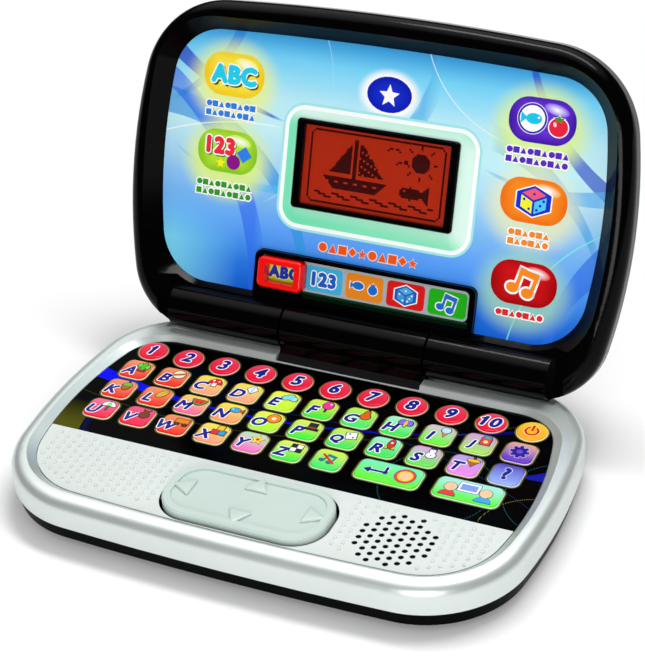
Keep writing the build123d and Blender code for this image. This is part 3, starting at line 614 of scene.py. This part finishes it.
for name, points, fill in (("disc", 24, 'TRIFAN'), ("triangle", 3, 'NGON'), ("diamond", 4, 'NGON'),
                           ("star", 10, 'NGON'), ("half", 24, 'NGON'), ("hexagon", 6, 'NGON')):
    bpy.ops.mesh.primitive_circle_add(vertices=points, radius=1, fill_type=fill, location=(0, 0, 0))
    if name == "star":
        for vertex in bpy.context.object.data.vertices:
            vertex.co *= 0.45 if vertex.index % 2 else 1
    if name == "half":
        bpy.ops.object.mode_set(mode='EDIT')
        bpy.ops.mesh.select_all(action='SELECT')
        bpy.ops.mesh.bisect(plane_co=(0, 0, 0), plane_no=(0, 1, 0), clear_inner=True)
        bpy.ops.object.mode_set(mode='OBJECT')
    keep_form(name)
bpy.ops.mesh.primitive_plane_add(size=1, location=(0, 0, 0))
keep_form("square")
rounded_plate(1.6, 1, 0.16, 4)
keep_form("tile")


def stamp(parts, form, spot, size, ink, turn=0, lean=0, middle=None, rise=0.02):
    """Print one form; lean lifts its right side, and all sizes are millimetres."""
    mesh = FORMS[form].copy()
    paint(mesh, ink, middle)
    slant = Matrix.Identity(4)
    slant[1][0] = lean
    place = Matrix.Translation((spot[0] * MM, spot[1] * MM, rise * MM)) @ slant
    place = place @ Matrix.Rotation(radians(turn), 4, 'Z')
    laid(mesh, place @ Matrix.Diagonal((size[0] * MM, size[1] * MM, 1, 1)), parts)


key_top = sum(rise for inset, rise in DOME) / MM + 0.02
letters = []
for letter, (row, column) in LETTERS.items():
    centre = key_centre(row, column) / MM
    word(letters, letter, (centre.x - 2.9, centre.y - 1.9), 7.2, "20208c", "ffffff", 0.5,
         centre.z + key_top, 0.42, 0.22)
for column in range(10):
    centre = key_centre(0, column) / MM
    word(letters, str(column + 1), centre, 8.2, "20208c", "ffffff", 0.55, centre.z + key_top, 0.5, 0.15)
    if column in (0, 9):
        flag = (centre.x - (0.2 if column == 0 else 4.1), centre.y + 2.2)
        for size, ink, rise in (((4.2, 2.5), "ffffff", 0.01), ((3, 1.3), "20208c", 0.06)):
            stamp(letters, "square", flag, size, ink, 38, rise=centre.z + key_top + rise)
joined("key_letters", letters, ink_print, "base")


# ---- Pictures of the keys ----
# Each letter key has one small picture high on its right, made of plain forms with a dark edge.
# The last keys of the rows have signs instead: power, gear, question, sound off, return and players.
def motif(parts, shapes, spot, scale=1.0, edge=None, width=0.7, rise=0.02):
    """Print forms over their wider edges; each is (form, x, y, width, height, ink, turn, lean)."""
    for i, (form, x, y, w, h, ink, *more) in enumerate(shapes):
        turn, lean = (more + [0, 0])[:2]
        centre = (spot[0] + x * scale, spot[1] + y * scale)
        if edge:
            stamp(parts, form, centre, (w * scale + width, h * scale + width), edge, turn, lean, rise=rise)
        stamp(parts, form, centre, (w * scale, h * scale), ink, turn, lean, rise=rise + 0.03 + 0.01 * i)


PICTURES = {
    "A": [("disc", 0, 0.3, 2.4, 6, "4fbf2a"), ("disc", -2, 0.8, 1.6, 3, "6fdc3a"),
          ("disc", 2, 0.2, 1.6, 3, "6fdc3a"), ("square", 0, -2.9, 3.4, 1.2, "8a4a1c")],
    "B": [("disc", 0, 0, 5.6, 5.6, "f2e7d0"), ("square", 0, 0, 5.2, 1.4, "b5651d", 25)],
    "C": [("half", 0, 0.8, 6.2, 3.4, "ee1818"), ("square", 0, -1.8, 2, 2.4, "fff3dc"),
          ("disc", -1.2, 1.2, 1.1, 1.1, "ffffff"), ("disc", 1.4, 1, 0.9, 0.9, "ffffff")],
    "D": [("diamond", 0, 0.5, 5, 6.2, "e8f6ff"), ("square", 0, 0.5, 0.35, 5.6, "5aa8d8")],
    "E": [("disc", -1.8, 0, 3.2, 3, "7fe3ee"), ("disc", 2, 0, 3, 2.8, "a9f0f5"),
          ("disc", 0.2, 0.9, 3.8, 3.8, "7fe3ee")],
    "F": [("square", 0, -2.9, 0.4, 1.8, "7a1540"), ("disc", 0, 0.8, 4.6, 5.2, "f0379a"),
          ("disc", 0.9, 1.9, 1, 1.2, "ffd0ea")],
    "G": [("square", 0.2, 3.1, 0.5, 1.4, "4a2a10"), ("disc", 0, 1.4, 2.4, 3, "e0641e"),
          ("disc", 0, -1.2, 4.4, 4, "e0641e")],
    "H": [("disc", -1.6, 0.6, 3, 3.6, "8a6be0"), ("disc", 1.6, 0.6, 3, 3.6, "8a6be0"),
          ("disc", 0, 0, 1.3, 4.8, "f2c51c")],
    "I": [("triangle", 0, -1.7, 3, 3.8, "c98a3c", 180), ("disc", 0, 1.3, 4, 3.6, "bfe6fb")],
    "J": [("square", 0, -0.5, 4.2, 4.4, "e8463c"), ("square", 0, 2.4, 3.2, 1.2, "2bb5b5"),
          ("disc", 0, -0.6, 2, 2, "ffe9a8")],
    "K": [("disc", 0, -0.6, 3.6, 4.6, "a8682a"), ("half", 0, 1.4, 4.6, 2.2, "6fbf2c"),
          ("square", 0, 3, 0.5, 1, "4a2a10")],
    "L": [("disc", 0, 0, 3, 6.4, "f0c21c", -35), ("square", 0, 0, 0.4, 5.6, "2a8f8f", -35)],
    "M": [("half", 0, -0.3, 6.6, 3.8, "3f9e2c", 180), ("half", 0, 0, 5.6, 3, "e8382c", 180),
          ("disc", -1, -0.2, 0.6, 0.7, "401010"), ("disc", 1, -0.2, 0.6, 0.7, "401010")],
    "N": [("triangle", 2.5, 0, 2.8, 2, "e0483c", 90), ("disc", -0.4, 0, 4.6, 3, "3fa8e8"),
          ("disc", -1.7, 0.4, 0.6, 0.6, "ffffff")],
    "O": [("disc", 0, 0, 5.8, 5.8, "f58a1c"), ("disc", 0, 0, 2.2, 2.2, "ffe9c0")],
    "P": [("square", 0, 0.8, 3.4, 3.6, "2a2a30"), ("square", 0, -1.5, 5.8, 1, "2a2a30"),
          ("square", 0, -0.5, 3.4, 0.8, "c8342a")],
    "Q": [("square", 0, 0, 4.4, 4.4, "ffffff", 12), ("disc", -1, 1, 1, 1, "20208c"),
          ("disc", 1, -1, 1, 1, "20208c")],
    "R": [("triangle", -1.5, -2, 1.6, 2, "f2b81c"), ("triangle", 1.5, -2, 1.6, 2, "f2b81c"),
          ("disc", 0, 0.4, 2.8, 6, "c8402a"), ("disc", 0, 1.2, 1.1, 1.1, "d8f0ff")],
    "S": [("disc", 0, -1.2, 4.2, 4, "f4f0fa"), ("disc", 0, 1.7, 2.8, 2.8, "f4f0fa"),
          ("square", 0, 3.1, 2.2, 0.9, "40406a"), ("disc", 0, -1.2, 0.6, 0.6, "40406a")],
    "T": [("triangle", 0, -0.8, 5.4, 4, "b0642a", 180), ("disc", 0, 1.4, 5.4, 1.8, "f2c51c"),
          ("square", 0, 2.8, 0.6, 1.6, "6a3a1a")],
    "U": [("square", 0, -1.4, 0.5, 3.6, "3f8f4c"), ("half", 0, 1.2, 6.2, 3, "ffffff"),
          ("half", 0, 1.2, 2.2, 3, "8fe08a")],
    "V": [("disc", 0, -1, 4.4, 4.2, "7a3a1c"), ("square", 0, 1.6, 1.8, 2, "7a3a1c"),
          ("square", 0, 2.8, 3, 0.7, "c07a3a")],
    "W": [("square", 0, 0.6, 6, 2.8, "e88a2a"), ("disc", -1.8, -1.5, 2.1, 2.1, "6a3a1a"),
          ("disc", 1.8, -1.5, 2.1, 2.1, "6a3a1a")],
    "X": [("square", -1.6, -1.3, 2.9, 2.9, "e0342a"), ("square", 1.6, -1.3, 2.9, 2.9, "2f9fd8"),
          ("square", 0, 1.8, 2.9, 2.9, "f2c51c")],
    "Y": [("star", 0, 0, 6, 6, "ffe23c"), ("disc", 0, -0.1, 1.8, 1.8, "e0483c")],
    "Z": [("square", 0, 0, 4.8, 4.8, "ffffff"), ("square", -1.2, 1.2, 2.4, 2.4, "26262c"),
          ("square", 1.2, -1.2, 2.4, 2.4, "26262c")],
}
NOTES = [("square", -1.3, 0.4, 0.9, 4.8), ("square", 2.4, 0.4, 0.9, 4.8), ("square", 0.55, 2.3, 4.6, 1.5),
         ("disc", -2.2, -2, 2.8, 2.3), ("disc", 1.5, -2, 2.8, 2.3)]


def notes(ink):
    """Two beamed notes in one ink, leaning to the right."""
    lean = Matrix.Rotation(radians(-14), 2)
    return [(form, *(lean @ Vector((x, y))), w, h, ink, -14) for form, x, y, w, h in NOTES]


def dice(parts, spot, scale, line, top, left, right, pip, rise):
    """Print a dice seen on a corner: three faces in a dark outline, with one, two and three pips."""
    motif(parts, [("hexagon", 0, 0, 13.8, 12, line)], spot, scale, "ffffff", 1.3, rise)
    faces = [("diamond", 0, 2.8, 9.4, 4.7, top), ("square", -2.75, -1.4, 4.6, 4.6, left, 0, -0.5),
             ("square", 2.75, -1.4, 4.6, 4.6, right, 0, 0.5)]
    pips = [(0, 2.8), (-3.8, 0.4), (-1.6, -3.1), (1.5, -3.2), (2.75, -1.4), (4, 0.5)]
    motif(parts, faces + [("disc", x, y, 1.1, 1.1, pip) for x, y in pips], spot, scale, rise=rise + 0.02)


SIGNS = [
    (0, 10, 1.0, "fff2c0", [("disc", 0, -0.5, 7.4, 7.4, "d8281c"), ("disc", 0, -0.5, 5, 5, "f6bc2c"),
                            ("square", 0, 2.4, 3, 2.6, "f6bc2c"), ("square", 0, 1.8, 1.2, 4.6, "d8281c")]),
    (1, 10, 1.0, "d4c8f8", [("square", 0, 0, 9.4, 1.8, "2a1c96", turn) for turn in (0, 45, 90, 135)]
     + [("disc", 0, 0, 6.8, 6.8, "2a1c96"), ("disc", 0, 0, 3, 3, "6a48d0")]),
    (3, 6, 1.1, None, notes("1c7f8f") + [("square", 0, 0, 8.6, 1.1, "e82020", -40)]),
    (3, 7.5, 1.0, "ffffff", [("triangle", -11, -0.6, 4.4, 3.6, "20208c", 90),
                             ("square", -5.4, -0.6, 9, 1.4, "20208c"),
                             ("square", -1.6, 1.2, 1.4, 5, "20208c")]),
    (3, 7.5, 1.0, "20208c", [("disc", 8.2, 0, 10, 10, "ee4a3c"), ("disc", 8.2, 0, 7.6, 7.6, "f7d04a"),
                             ("disc", 8.2, 0, 5.2, 5.2, "f6c9a0")]),
    (3, 9.41, 1.0, "20208c", [("square", 0, 2, 10, 6.4, "ffffff"), ("square", 0, 2, 8, 4.4, "7f9fe8"),
                              ("half", -8.6, -4.2, 8, 3.8, "e0483c"), ("disc", -8.6, 0.4, 6, 6, "f6c9a0"),
                              ("half", 8.6, -4.2, 8, 3.8, "3fa8e8"), ("disc", 8.6, 0.4, 6, 6, "f6c9a0")]),
]
pictures = []
for letter, shapes in PICTURES.items():
    centre = key_centre(*LETTERS[letter]) / MM
    motif(pictures, shapes, (centre.x + 3, centre.y + 2.4), 1.15, "1c1020", 0.85, centre.z + key_top + 0.06)
for row, column, scale, edge, shapes in SIGNS:
    centre = key_centre(row, column) / MM
    motif(pictures, shapes, centre, scale, edge, 0.6, centre.z + key_top)
centre = key_centre(2, 10) / MM
word(pictures, "?", centre, 9, "20208c", "b8c8f8", 0.5, centre.z + key_top, 0.5)
joined("key_pictures", pictures, ink_print, "base")


# ---- Printed panel of the lid ----
# The panel is a plastic sheet printed sky blue, palest above the middle and deep blue at its foot; near its
# head it darkens again in painted shadow of the bezel rim.
# Broad ribbons and fine lines sweep over it, and a soft glow surrounds each sign.
pin_low, pin_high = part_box("hinge_pin")
hinge = (pin_low + pin_high) / 2
lid_turn = radians(69.8)
LID = Matrix.Translation((0, hinge.y, hinge.z)) @ Matrix.Rotation(lid_turn, 4, 'X')
ICONS = {"letters": (-80.6, 122.4), "numbers": (-81, 83.4), "animals": (82, 122.4), "logic": (82.4, 83.9),
         "music": (82.4, 43.5)}
BADGE = (3.7, 124.0)


def glow(nodes, links, point, centre, half_w, half_h, soft):
    """Mask that is 1 in an ellipse and fades out round it."""
    away = nodes.new("ShaderNodeVectorMath")
    away.operation = 'SUBTRACT'
    away.inputs[1].default_value = centre + (0,)
    share = nodes.new("ShaderNodeVectorMath")
    share.operation = 'DIVIDE'
    share.inputs[1].default_value = (half_w, half_h, 1)
    length = nodes.new("ShaderNodeVectorMath")
    length.operation = 'LENGTH'
    links.new(point, away.inputs[0])
    links.new(away.outputs["Vector"], share.inputs[0])
    links.new(share.outputs["Vector"], length.inputs[0])
    fade = nodes.new("ShaderNodeMapRange")
    fade.interpolation_type = 'SMOOTHSTEP'
    fade.inputs["From Min"].default_value = 1
    fade.inputs["From Max"].default_value = 1 + soft
    fade.inputs["To Min"].default_value = 1
    fade.inputs["To Max"].default_value = 0
    links.new(length.outputs["Value"], fade.inputs["Value"])
    return fade.outputs["Result"]


panel = plastic("panel_print", linear("88bff6"), 0.2, grain=700, grain_height=0.000008, mirror=0.15)
nodes, links = panel.node_tree.nodes, panel.node_tree.links
shader = nodes["Principled BSDF"]
point, x_mm, s_mm = flat_point(nodes, links, (0, hinge.y, hinge.z), lid_turn)
# Stops of the printed blue ramp up the lid, in mm; the darker stops at the head are painted shadow of the
# bezel rim.
SKY_AND_RIM_SHADE = [(14, "0f60d6"), (20, "196adc"), (28, "2678e4"), (36, "3f8cee"), (48, "5da1f9"), (59, "75b4f3"),
       (70, "8cc5f6"), (80, "a8d7f3"), (98, "c4f0f7"), (114, "bcedfa"), (124, "99e2fc"), (134, "77d6fb"),
       (142, "4cb0ea"), (147, "3496d8")]
foot_s, head_s = SKY_AND_RIM_SHADE[0][0], SKY_AND_RIM_SHADE[-1][0]
sky_and_rim_shade = nodes.new("ShaderNodeValToRGB")
for s, code in SKY_AND_RIM_SHADE[1:-1]:
    sky_and_rim_shade.color_ramp.elements.new((s - foot_s) / (head_s - foot_s)).color = linear(code)
sky_and_rim_shade.color_ramp.elements[0].color = linear(SKY_AND_RIM_SHADE[0][1])
sky_and_rim_shade.color_ramp.elements[-1].color = linear(SKY_AND_RIM_SHADE[-1][1])
links.new(ramp(nodes, links, s_mm, foot_s, head_s, 0, 1), sky_and_rim_shade.inputs["Fac"])
ground = sky_and_rim_shade.outputs["Color"]
low_down = ramp(nodes, links, s_mm, 60, 35, 0, 1)
ground = over(nodes, links, ground, linear("7fdcf4"),
              times(nodes, links, ramp(nodes, links, x_mm, -70, -108, 0, 1), low_down), 0.85)
RIBBONS = [  # centre, radius, half widths at its ends, colour, strength, and where it ends left and right
    ((-124, 14), 92, 7.5, 2.0, "2f97e4", 0.75, -125, -20),
    ((-20, 250), 150, 5.0, 0.5, "2c48d0", 0.85, -125, -50),
    ((-192, 8), 134, 5.0, 5.0, "2a6cf0", 0.7, -125, -55),
    ((-60, 160), 92, 0.6, 4.5, "58b8f0", 0.8, -112, 30),
    ((-150, 176), 78, 1.2, 3.5, "1f7fe0", 0.7, -114, -70),
    ((30, 20), 96, 6.5, 1.5, "2f9ae4", 0.6, 58, 120),
    ((170, 178), 100, 1.0, 4.5, "2c4fd0", 0.8, 60, 125),
    ((170, 6), 74, 1.5, 8.5, "2a6ee8", 0.7, 92, 125),
    ((96, 200), 112, 0.5, 4.5, "5fb4ee", 0.8, 56, 122),
    ((-60, -60), 160, 0.5, 0.5, "ffffff", 0.8, -200, -50),
    ((80, 170), 62, 0.4, 0.4, "ffffff", 0.8, 10, 66),
    ((-96, 120), 70, 0.4, 0.4, "bff4ff", 0.8, -60, -24),
    ((160, 0), 84, 0.5, 0.5, "7ff0e0", 0.8, 60, 200),
]
for centre, radius, thin, thick, code, strength, left, right in RIBBONS:
    half = ramp(nodes, links, x_mm, left, right, thin, thick)
    ribbon = arc_band(nodes, links, point, centre, radius, half, 0.4)
    stretch = times(nodes, links, ramp(nodes, links, x_mm, left, left + 8, 0, 1),
                    ramp(nodes, links, x_mm, right - 8, right, 1, 0))
    ground = over(nodes, links, ground, linear(code), times(nodes, links, ribbon, stretch), strength)
HALOS = [("letters", "e8f59a", 0.95), ("numbers", "dcf28c", 0.95), ("animals", "dcf59a", 0.95),
         ("logic", "f0efb0", 0.7), ("music", "a8dcae", 0.7)]
for name, code, strength in HALOS:
    x, s = ICONS[name]
    halo_mask = glow(nodes, links, point, (x, s - 4), 15, 13, 0.95)
    ground = over(nodes, links, ground, linear(code), halo_mask, strength)
ground = over(nodes, links, ground, linear("ffffff"), glow(nodes, links, point, BADGE, 12, 9, 0.5))
links.new(ground, shader.inputs["Base Color"])
dress(["lid_printed_panel"], panel)


# ---- Display ----
# A dot display with an orange face lies behind a clear window in a black frame; its faint glow is painted
# light, as the display has no lamp.
# Its picture is made of dark square dots: a boat on waves, a fish, the sun and two birds.
# The printed surround is mint green, with a white line near its edge.
surround_w, surround_h, surround_r, surround_at = 105.6, 64.6, 12, Vector((1.5, 81.9, 0.02))
glass_at = Vector((0, 83.9, -1.28))
hole_w, hole_h = 83, 42.6
RINGS = [1.2, 0.15, 1.9, 0.15, 2.6, 1]
left_w, left_h = surround_w - 2 * sum(RINGS), surround_h - 2 * sum(RINGS)
surround = raised(rounded_plate(surround_w * MM, surround_h * MM, surround_r * MM, 10),
                  [(ring * MM, 0) for ring in RINGS])
bpy.ops.object.mode_set(mode='EDIT')
bpy.ops.transform.resize(value=(hole_w / left_w, hole_h / left_h, 1), center_override=(0, 0, 0))
bpy.ops.transform.translate(value=((glass_at - surround_at).xy * MM).to_3d())
bpy.ops.mesh.delete(type='ONLY_FACE')
bpy.ops.object.mode_set(mode='OBJECT')
ink = surround.data.color_attributes.new("Ink", 'FLOAT_COLOR', 'CORNER')
for face in surround.data.polygons:
    for loop in face.loop_indices:
        spot = surround.data.vertices[surround.data.loops[loop].vertex_index].co / MM
        past_w, past_h = abs(spot.x) - surround_w / 2, abs(spot.y) - surround_h / 2
        inset = -max(past_w, past_h)
        corner = Vector((past_w + surround_r, past_h + surround_r))
        if min(corner) > 0:
            inset = surround_r - corner.length
        sheen = 0.5 + 0.5 * sin(spot.x * 0.09 + spot.y * 0.16 + 0.6)
        mint = between(linear("74e8b8"), linear("dffaf0"), sheen ** 2)
        if inset < RINGS[0] + 0.05:
            ink.data[loop].color = linear("a4e6ea")
        else:
            ink.data[loop].color = linear("fbffff") if inset < sum(RINGS[:3]) + 0.05 else mint
surround.data.transform(LID @ Matrix.Translation(surround_at * MM))
joined("display_surround", [surround], ink_print, "lid")

display = plastic("display_orange_and_painted_glow", linear("a02203"), 0.35, grain=900, grain_height=0.000002, mirror=0.05)
# Painted glow: a faint orange emission stands in for the light that the window keeps off the display.
display.node_tree.nodes["Principled BSDF"].inputs["Emission Color"].default_value = linear("b42404")
display.node_tree.nodes["Principled BSDF"].inputs["Emission Strength"].default_value = 0.14
dress(["display_glass"], display)
clear = plastic("clear_acrylic", linear("606464"), 0.05, grain=300, grain_height=0.000002)
clear.node_tree.nodes["Principled BSDF"].inputs["Alpha"].default_value = 0.015
dress(["display_window"], clear)
COLUMNS, ROWS, dot_mm = 72, 38, 1.03


def dark(c, r):
    """True where a dot is dark: a rounded frame line, a boat, waves, a fish, the sun and two birds."""
    line = (c in (1, 70) and 2 < r < 35) or (r in (1, 36) and 2 < c < 69) or (c in (2, 69) and r in (2, 35))
    hull = 9 <= r <= 14 and 9 + (14 - r) <= c <= 41 - (14 - r) and not (r == 12 and c % 5 < 2)
    mast = c in (24, 25) and 14 < r < 34
    sail = 26 < c < 27 + (33 - r) * 0.78 and 16 < r < 33 and (c + 2 * r) % 7
    jib = 23 > c > 22 - (31 - r) * 0.72 and 16 < r < 31
    wave = 4 <= r <= 6 and (c + 3 * (r - 4)) % 10 < 4 and 4 < c < 67
    away = ((c - 58) ** 2 + (r - 27) ** 2) ** 0.5
    sun = away <= 4.6 or (6 < away < 8.8 and (c == 58 or r == 27 or abs(c - 58) == abs(r - 27)))
    bird = any(0 < abs(c - x) < 4 and r - y == (abs(c - x) < 3) for x, y in ((44, 31), (49, 25)))
    fish = (c - 54) ** 2 / 30 + (r - 12) ** 2 / 9 <= 1 and (c, r) != (51, 13)
    fish = fish or (59 < c < 64 and abs(r - 12) <= c - 59)
    return line or hull or mast or sail or jib or wave or sun or bird or fish


dots = []
for r in range(ROWS):
    start = None
    for c in range(COLUMNS + 1):
        if c < COLUMNS and dark(c, r):
            start = c if start is None else start
        elif start is not None:
            x = glass_at.x + ((start + c) / 2 - COLUMNS / 2) * dot_mm
            s = glass_at.y + (r + 0.5 - ROWS / 2) * dot_mm
            stamp(dots, "square", (x, s), ((c - start) * dot_mm, dot_mm), "3a0201", rise=glass_at.z)
            start = None
picture = joined("display_dots", dots, ink_print, "lid")
picture.data.transform(LID)


# ---- Badge and signs of the lid ----
# A royal blue badge with a white star stands above the display. Five gloss ovals beside it show
# what the toy teaches, each with two short rows of small forms below it, the music oval with one.
signs = []
stamp(signs, "disc", BADGE, (23.6, 17.6), "0a1cb4", middle="1c34d8", rise=0.03)
stamp(signs, "star", BADGE, (10.5, 10.5), "ffffff", rise=0.06)
OVALS = {"letters": ("f8cc00", "fff65a"), "numbers": ("7fc41c", "c8f03c"), "animals": ("3c12a0", "7a3cf0"),
         "logic": ("ee6a08", "ff9c2a"), "music": ("9c0206", "e0141c")}
oval_w, oval_h, oval_r = 33.4, 21.6, 10
oval = raised(rounded_plate(oval_w * MM, oval_h * MM, oval_r * MM, 8),
              [(0.8 * MM, 0), (2 * MM, 0), (3 * MM, 0)])
bpy.ops.object.select_all(action='DESELECT')
for name, (rim, heart) in OVALS.items():
    mesh = oval.data.copy()
    ink = mesh.color_attributes.new("Ink", 'FLOAT_COLOR', 'CORNER')
    for i, loop in enumerate(mesh.loops):
        spot = mesh.vertices[loop.vertex_index].co / MM
        edge_share = min(1, max(2 * abs(spot.x) / oval_w, 2 * abs(spot.y) / oval_h, spot.length / 17.5))
        light = max(0, 1 - edge_share) * 1.3 + max(0, spot.y) * 0.02
        ink.data[i].color = between(linear(rim), linear(heart), min(1, light))
    x, s = ICONS[name]
    laid(mesh, Matrix.Translation((x * MM, s * MM, 0.03 * MM)), signs)
    stamp(signs, "disc", (x + 6.5, s + 6), (13, 5.5), heart, turn=-12, middle="ffffff", rise=0.04)
bpy.data.objects.remove(oval)
x, s = ICONS["letters"]
word(signs, "ABC", (x + 1.1, s - 1.2), 10.4, "4a5a14", None, 0, 0.05, 1.1)
word(signs, "ABC", (x, s), 10, "22d0ee", "ffffff", 0.7, 0.09, 0.85)
x, s = ICONS["numbers"]
word(signs, "123", (x - 3.2, s + 1.6), 9.6, "3a5a14", None, 0, 0.05, 1)
word(signs, "123", (x - 4, s + 2.6), 9.2, "ee2a3a", "ffffff", 0.7, 0.09, 0.75)
motif(signs, [("star", -3.4, -6, 5.5, 5.5, "f8f01c"), ("square", 9.6, -0.4, 6, 6, "2f7fe8", 38),
              ("disc", 3.8, -5, 7.6, 7.6, "8a148a")], (x, s), rise=0.16)
x, s = ICONS["animals"]
motif(signs, [("disc", -5, 0.6, 14.4, 14.4, "2a1ca0"), ("disc", -5, 0.6, 12.6, 12.6, "ffffff"),
              ("triangle", -9, 0.6, 5.6, 3.4, "1cc8ee", -90), ("disc", -4.2, 0.6, 8, 5.2, "1cc8ee"),
              ("disc", -1.9, 1.3, 1.1, 1.1, "ffffff")], (x, s), edge="e8e0ff", width=0.8, rise=0.06)
motif(signs, [("disc", 8.2, -2, 9.4, 8.8, "ee2440"), ("star", 8.2, 2, 5.4, 3.6, "3c9a2a"),
              ("disc", 6.3, -0.8, 1.6, 2.4, "ffd0d8", 20)], (x, s), edge="ffffff", width=1.1, rise=0.14)
x, s = ICONS["logic"]
dice(signs, (x, s), 1.25, "1c30c8", "f05a74", "f4f02c", "52c8f4", "1c30c8", 0.06)
x, s = ICONS["music"]
motif(signs, notes("f78a1c"), (x, s + 0.4), 2.15, "ffffff", 2.0, 0.06)
CAPTIONS = [("letters", -15.6, 8, "2f7fe0"), ("numbers", -17.2, 9, "2f9a2a"), ("animals", -15.2, 9, "5a2ac0"),
            ("logic", -16, 6, "f0882a"), ("music", -15.6, 7, "e02a2a")]
for name, down, count, code in CAPTIONS:
    x, s = ICONS[name]
    for line in range(1 if name == "music" else 2):
        for k in range(count):
            form = ("disc", "square", "triangle")[(k + line) % 3]
            spot = (x - 0.5 + (k - (count - 1) / 2) * 3.5, s + down - line * 4.5)
            motif(signs, [(form, 0, 0, 3, 3, code)], spot, 1, "ffffff", 1.3, 0.05)
for k in range(10):
    form = ("disc", "triangle", "square", "diamond", "star")[k % 5]
    motif(signs, [(form, 0, 0, 4.4, 4.4, "f0541c")], ((k - 4.5) * 5.4 + 0.5, 43.5), 1, "ffd9c0", 1.0, 0.05)
sign_print = joined("lid_signs", signs, ink_print, "lid")
sign_print.data.transform(LID)


# ---- Mode label ----
# The label strip behind the slider has five coloured fields, one for each place of the slider.
# Their signs are blue with a white edge.
strip_x, strip_s, cell_pitch, strip_top = 0.4, 26.5, 22.2, -0.6
label = plastic("label_card", linear("aab3b7"), 0.36, grain=900, grain_height=0.00001)
dress(["mode_label_strip"], label)
cells = []
for i, code in enumerate(("c8dc2c", "3fb4e4", "ee8a1c", "e01c1c", "22b41c")):
    stamp(cells, "tile", (strip_x + (i - 2) * cell_pitch, strip_s), (20.2, 13), code, rise=strip_top + 0.02)
word(cells, "ABC", (strip_x - 2 * cell_pitch, strip_s), 6.8, "1c3cb4", "f4f08a", 0.5, strip_top + 0.05, 0.6)
word(cells, "123", (strip_x - cell_pitch, strip_s), 7.6, "1c5fc8", "ffffff", 0.6, strip_top + 0.05, 0.6)
motif(cells, [("triangle", -6.6, 0.5, 3.6, 2.2, "1c6fd0", -90), ("disc", -3.4, 0.5, 6, 4, "1c6fd0"),
              ("disc", 4.6, -0.6, 5, 4.8, "1c6fd0"), ("star", 4.6, 1.9, 3.4, 2.4, "1c6fd0")],
      (strip_x, strip_s), edge="ffffff", width=0.9, rise=strip_top + 0.05)
dice(cells, (strip_x + cell_pitch, strip_s), 0.84, "1c5fc8", "52b0ec", "3f9fe0", "3f9fe0", "ffffff",
     strip_top + 0.05)
motif(cells, notes("1c6fd0"), (strip_x + 2 * cell_pitch, strip_s), 1.45, "ffffff", 1.2, strip_top + 0.05)
label_print = joined("mode_label_print", cells, ink_print, "lid")
label_print.data.transform(LID)


# ---- Mode slider ----
# The slider is a gloss red frame moulding that shows the chosen field through its window.
# It is fixed to a shoe behind the label, which runs in the slot of the lid.
red = plastic("red_abs", linear("f00804"), 0.18, grain=800, mirror=0.3)
dress(["mode_slider"], red)


# ---- Inner parts ----
# Boards, springs, cells, screws, speaker and rubber parts have their plain factory finishes.
# They show only when the lid folds, when the pad tilts, or through the grille and the gaps.
def metal(name, colour, rough):
    """Bare or plated metal with a fine brushed grain."""
    material = plastic(name, colour, rough, grain=3000, grain_height=0.00001)
    material.node_tree.nodes["Principled BSDF"].inputs["Metallic"].default_value = 1.0
    return material


def named(*starts):
    """Names of the CAD nodes that begin with one of these."""
    return [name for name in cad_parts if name.startswith(starts)]


dress(named("hinge_pin", "hinge_bushing", "case_screw", "lid_screw", "battery_door_screw", "battery_contact"),
      metal("steel", linear("b4b4b0"), 0.36))
dress(["mode_slider_wiper"], metal("brass", linear("c8a45a"), 0.36))
dress(["main_board", "cursor_pad_board", "display_board", "mode_switch_board"],
      plastic("circuit_board", linear("1f6a38"), 0.35, grain=1200, grain_height=0.00003))
dress(["main_board_chip", "speaker_magnet", "speaker_basket", "hinge_cable"],
      plastic("dark_resin", linear("18181a"), 0.5))
dress(named("rubber_foot"), plastic("foot_rubber", linear("1e1e20"), 0.7))
dress(["speaker_cone"], plastic("cone_paper", linear("141414"), 0.8, grain=1500, grain_height=0.00008))
dress(["cursor_pad_rubber_mat"], plastic("grey_silicone", linear("8a8c8e"), 0.6))
dress(["membrane_switch_sheet", "cursor_pad_gimbal", "cursor_pad_bracket"],
      plastic("inner_moulding", linear("d4d4cc"), 0.5))
dress(named("battery_cell"), plastic("cell_jacket", linear("5a6266"), 0.35))
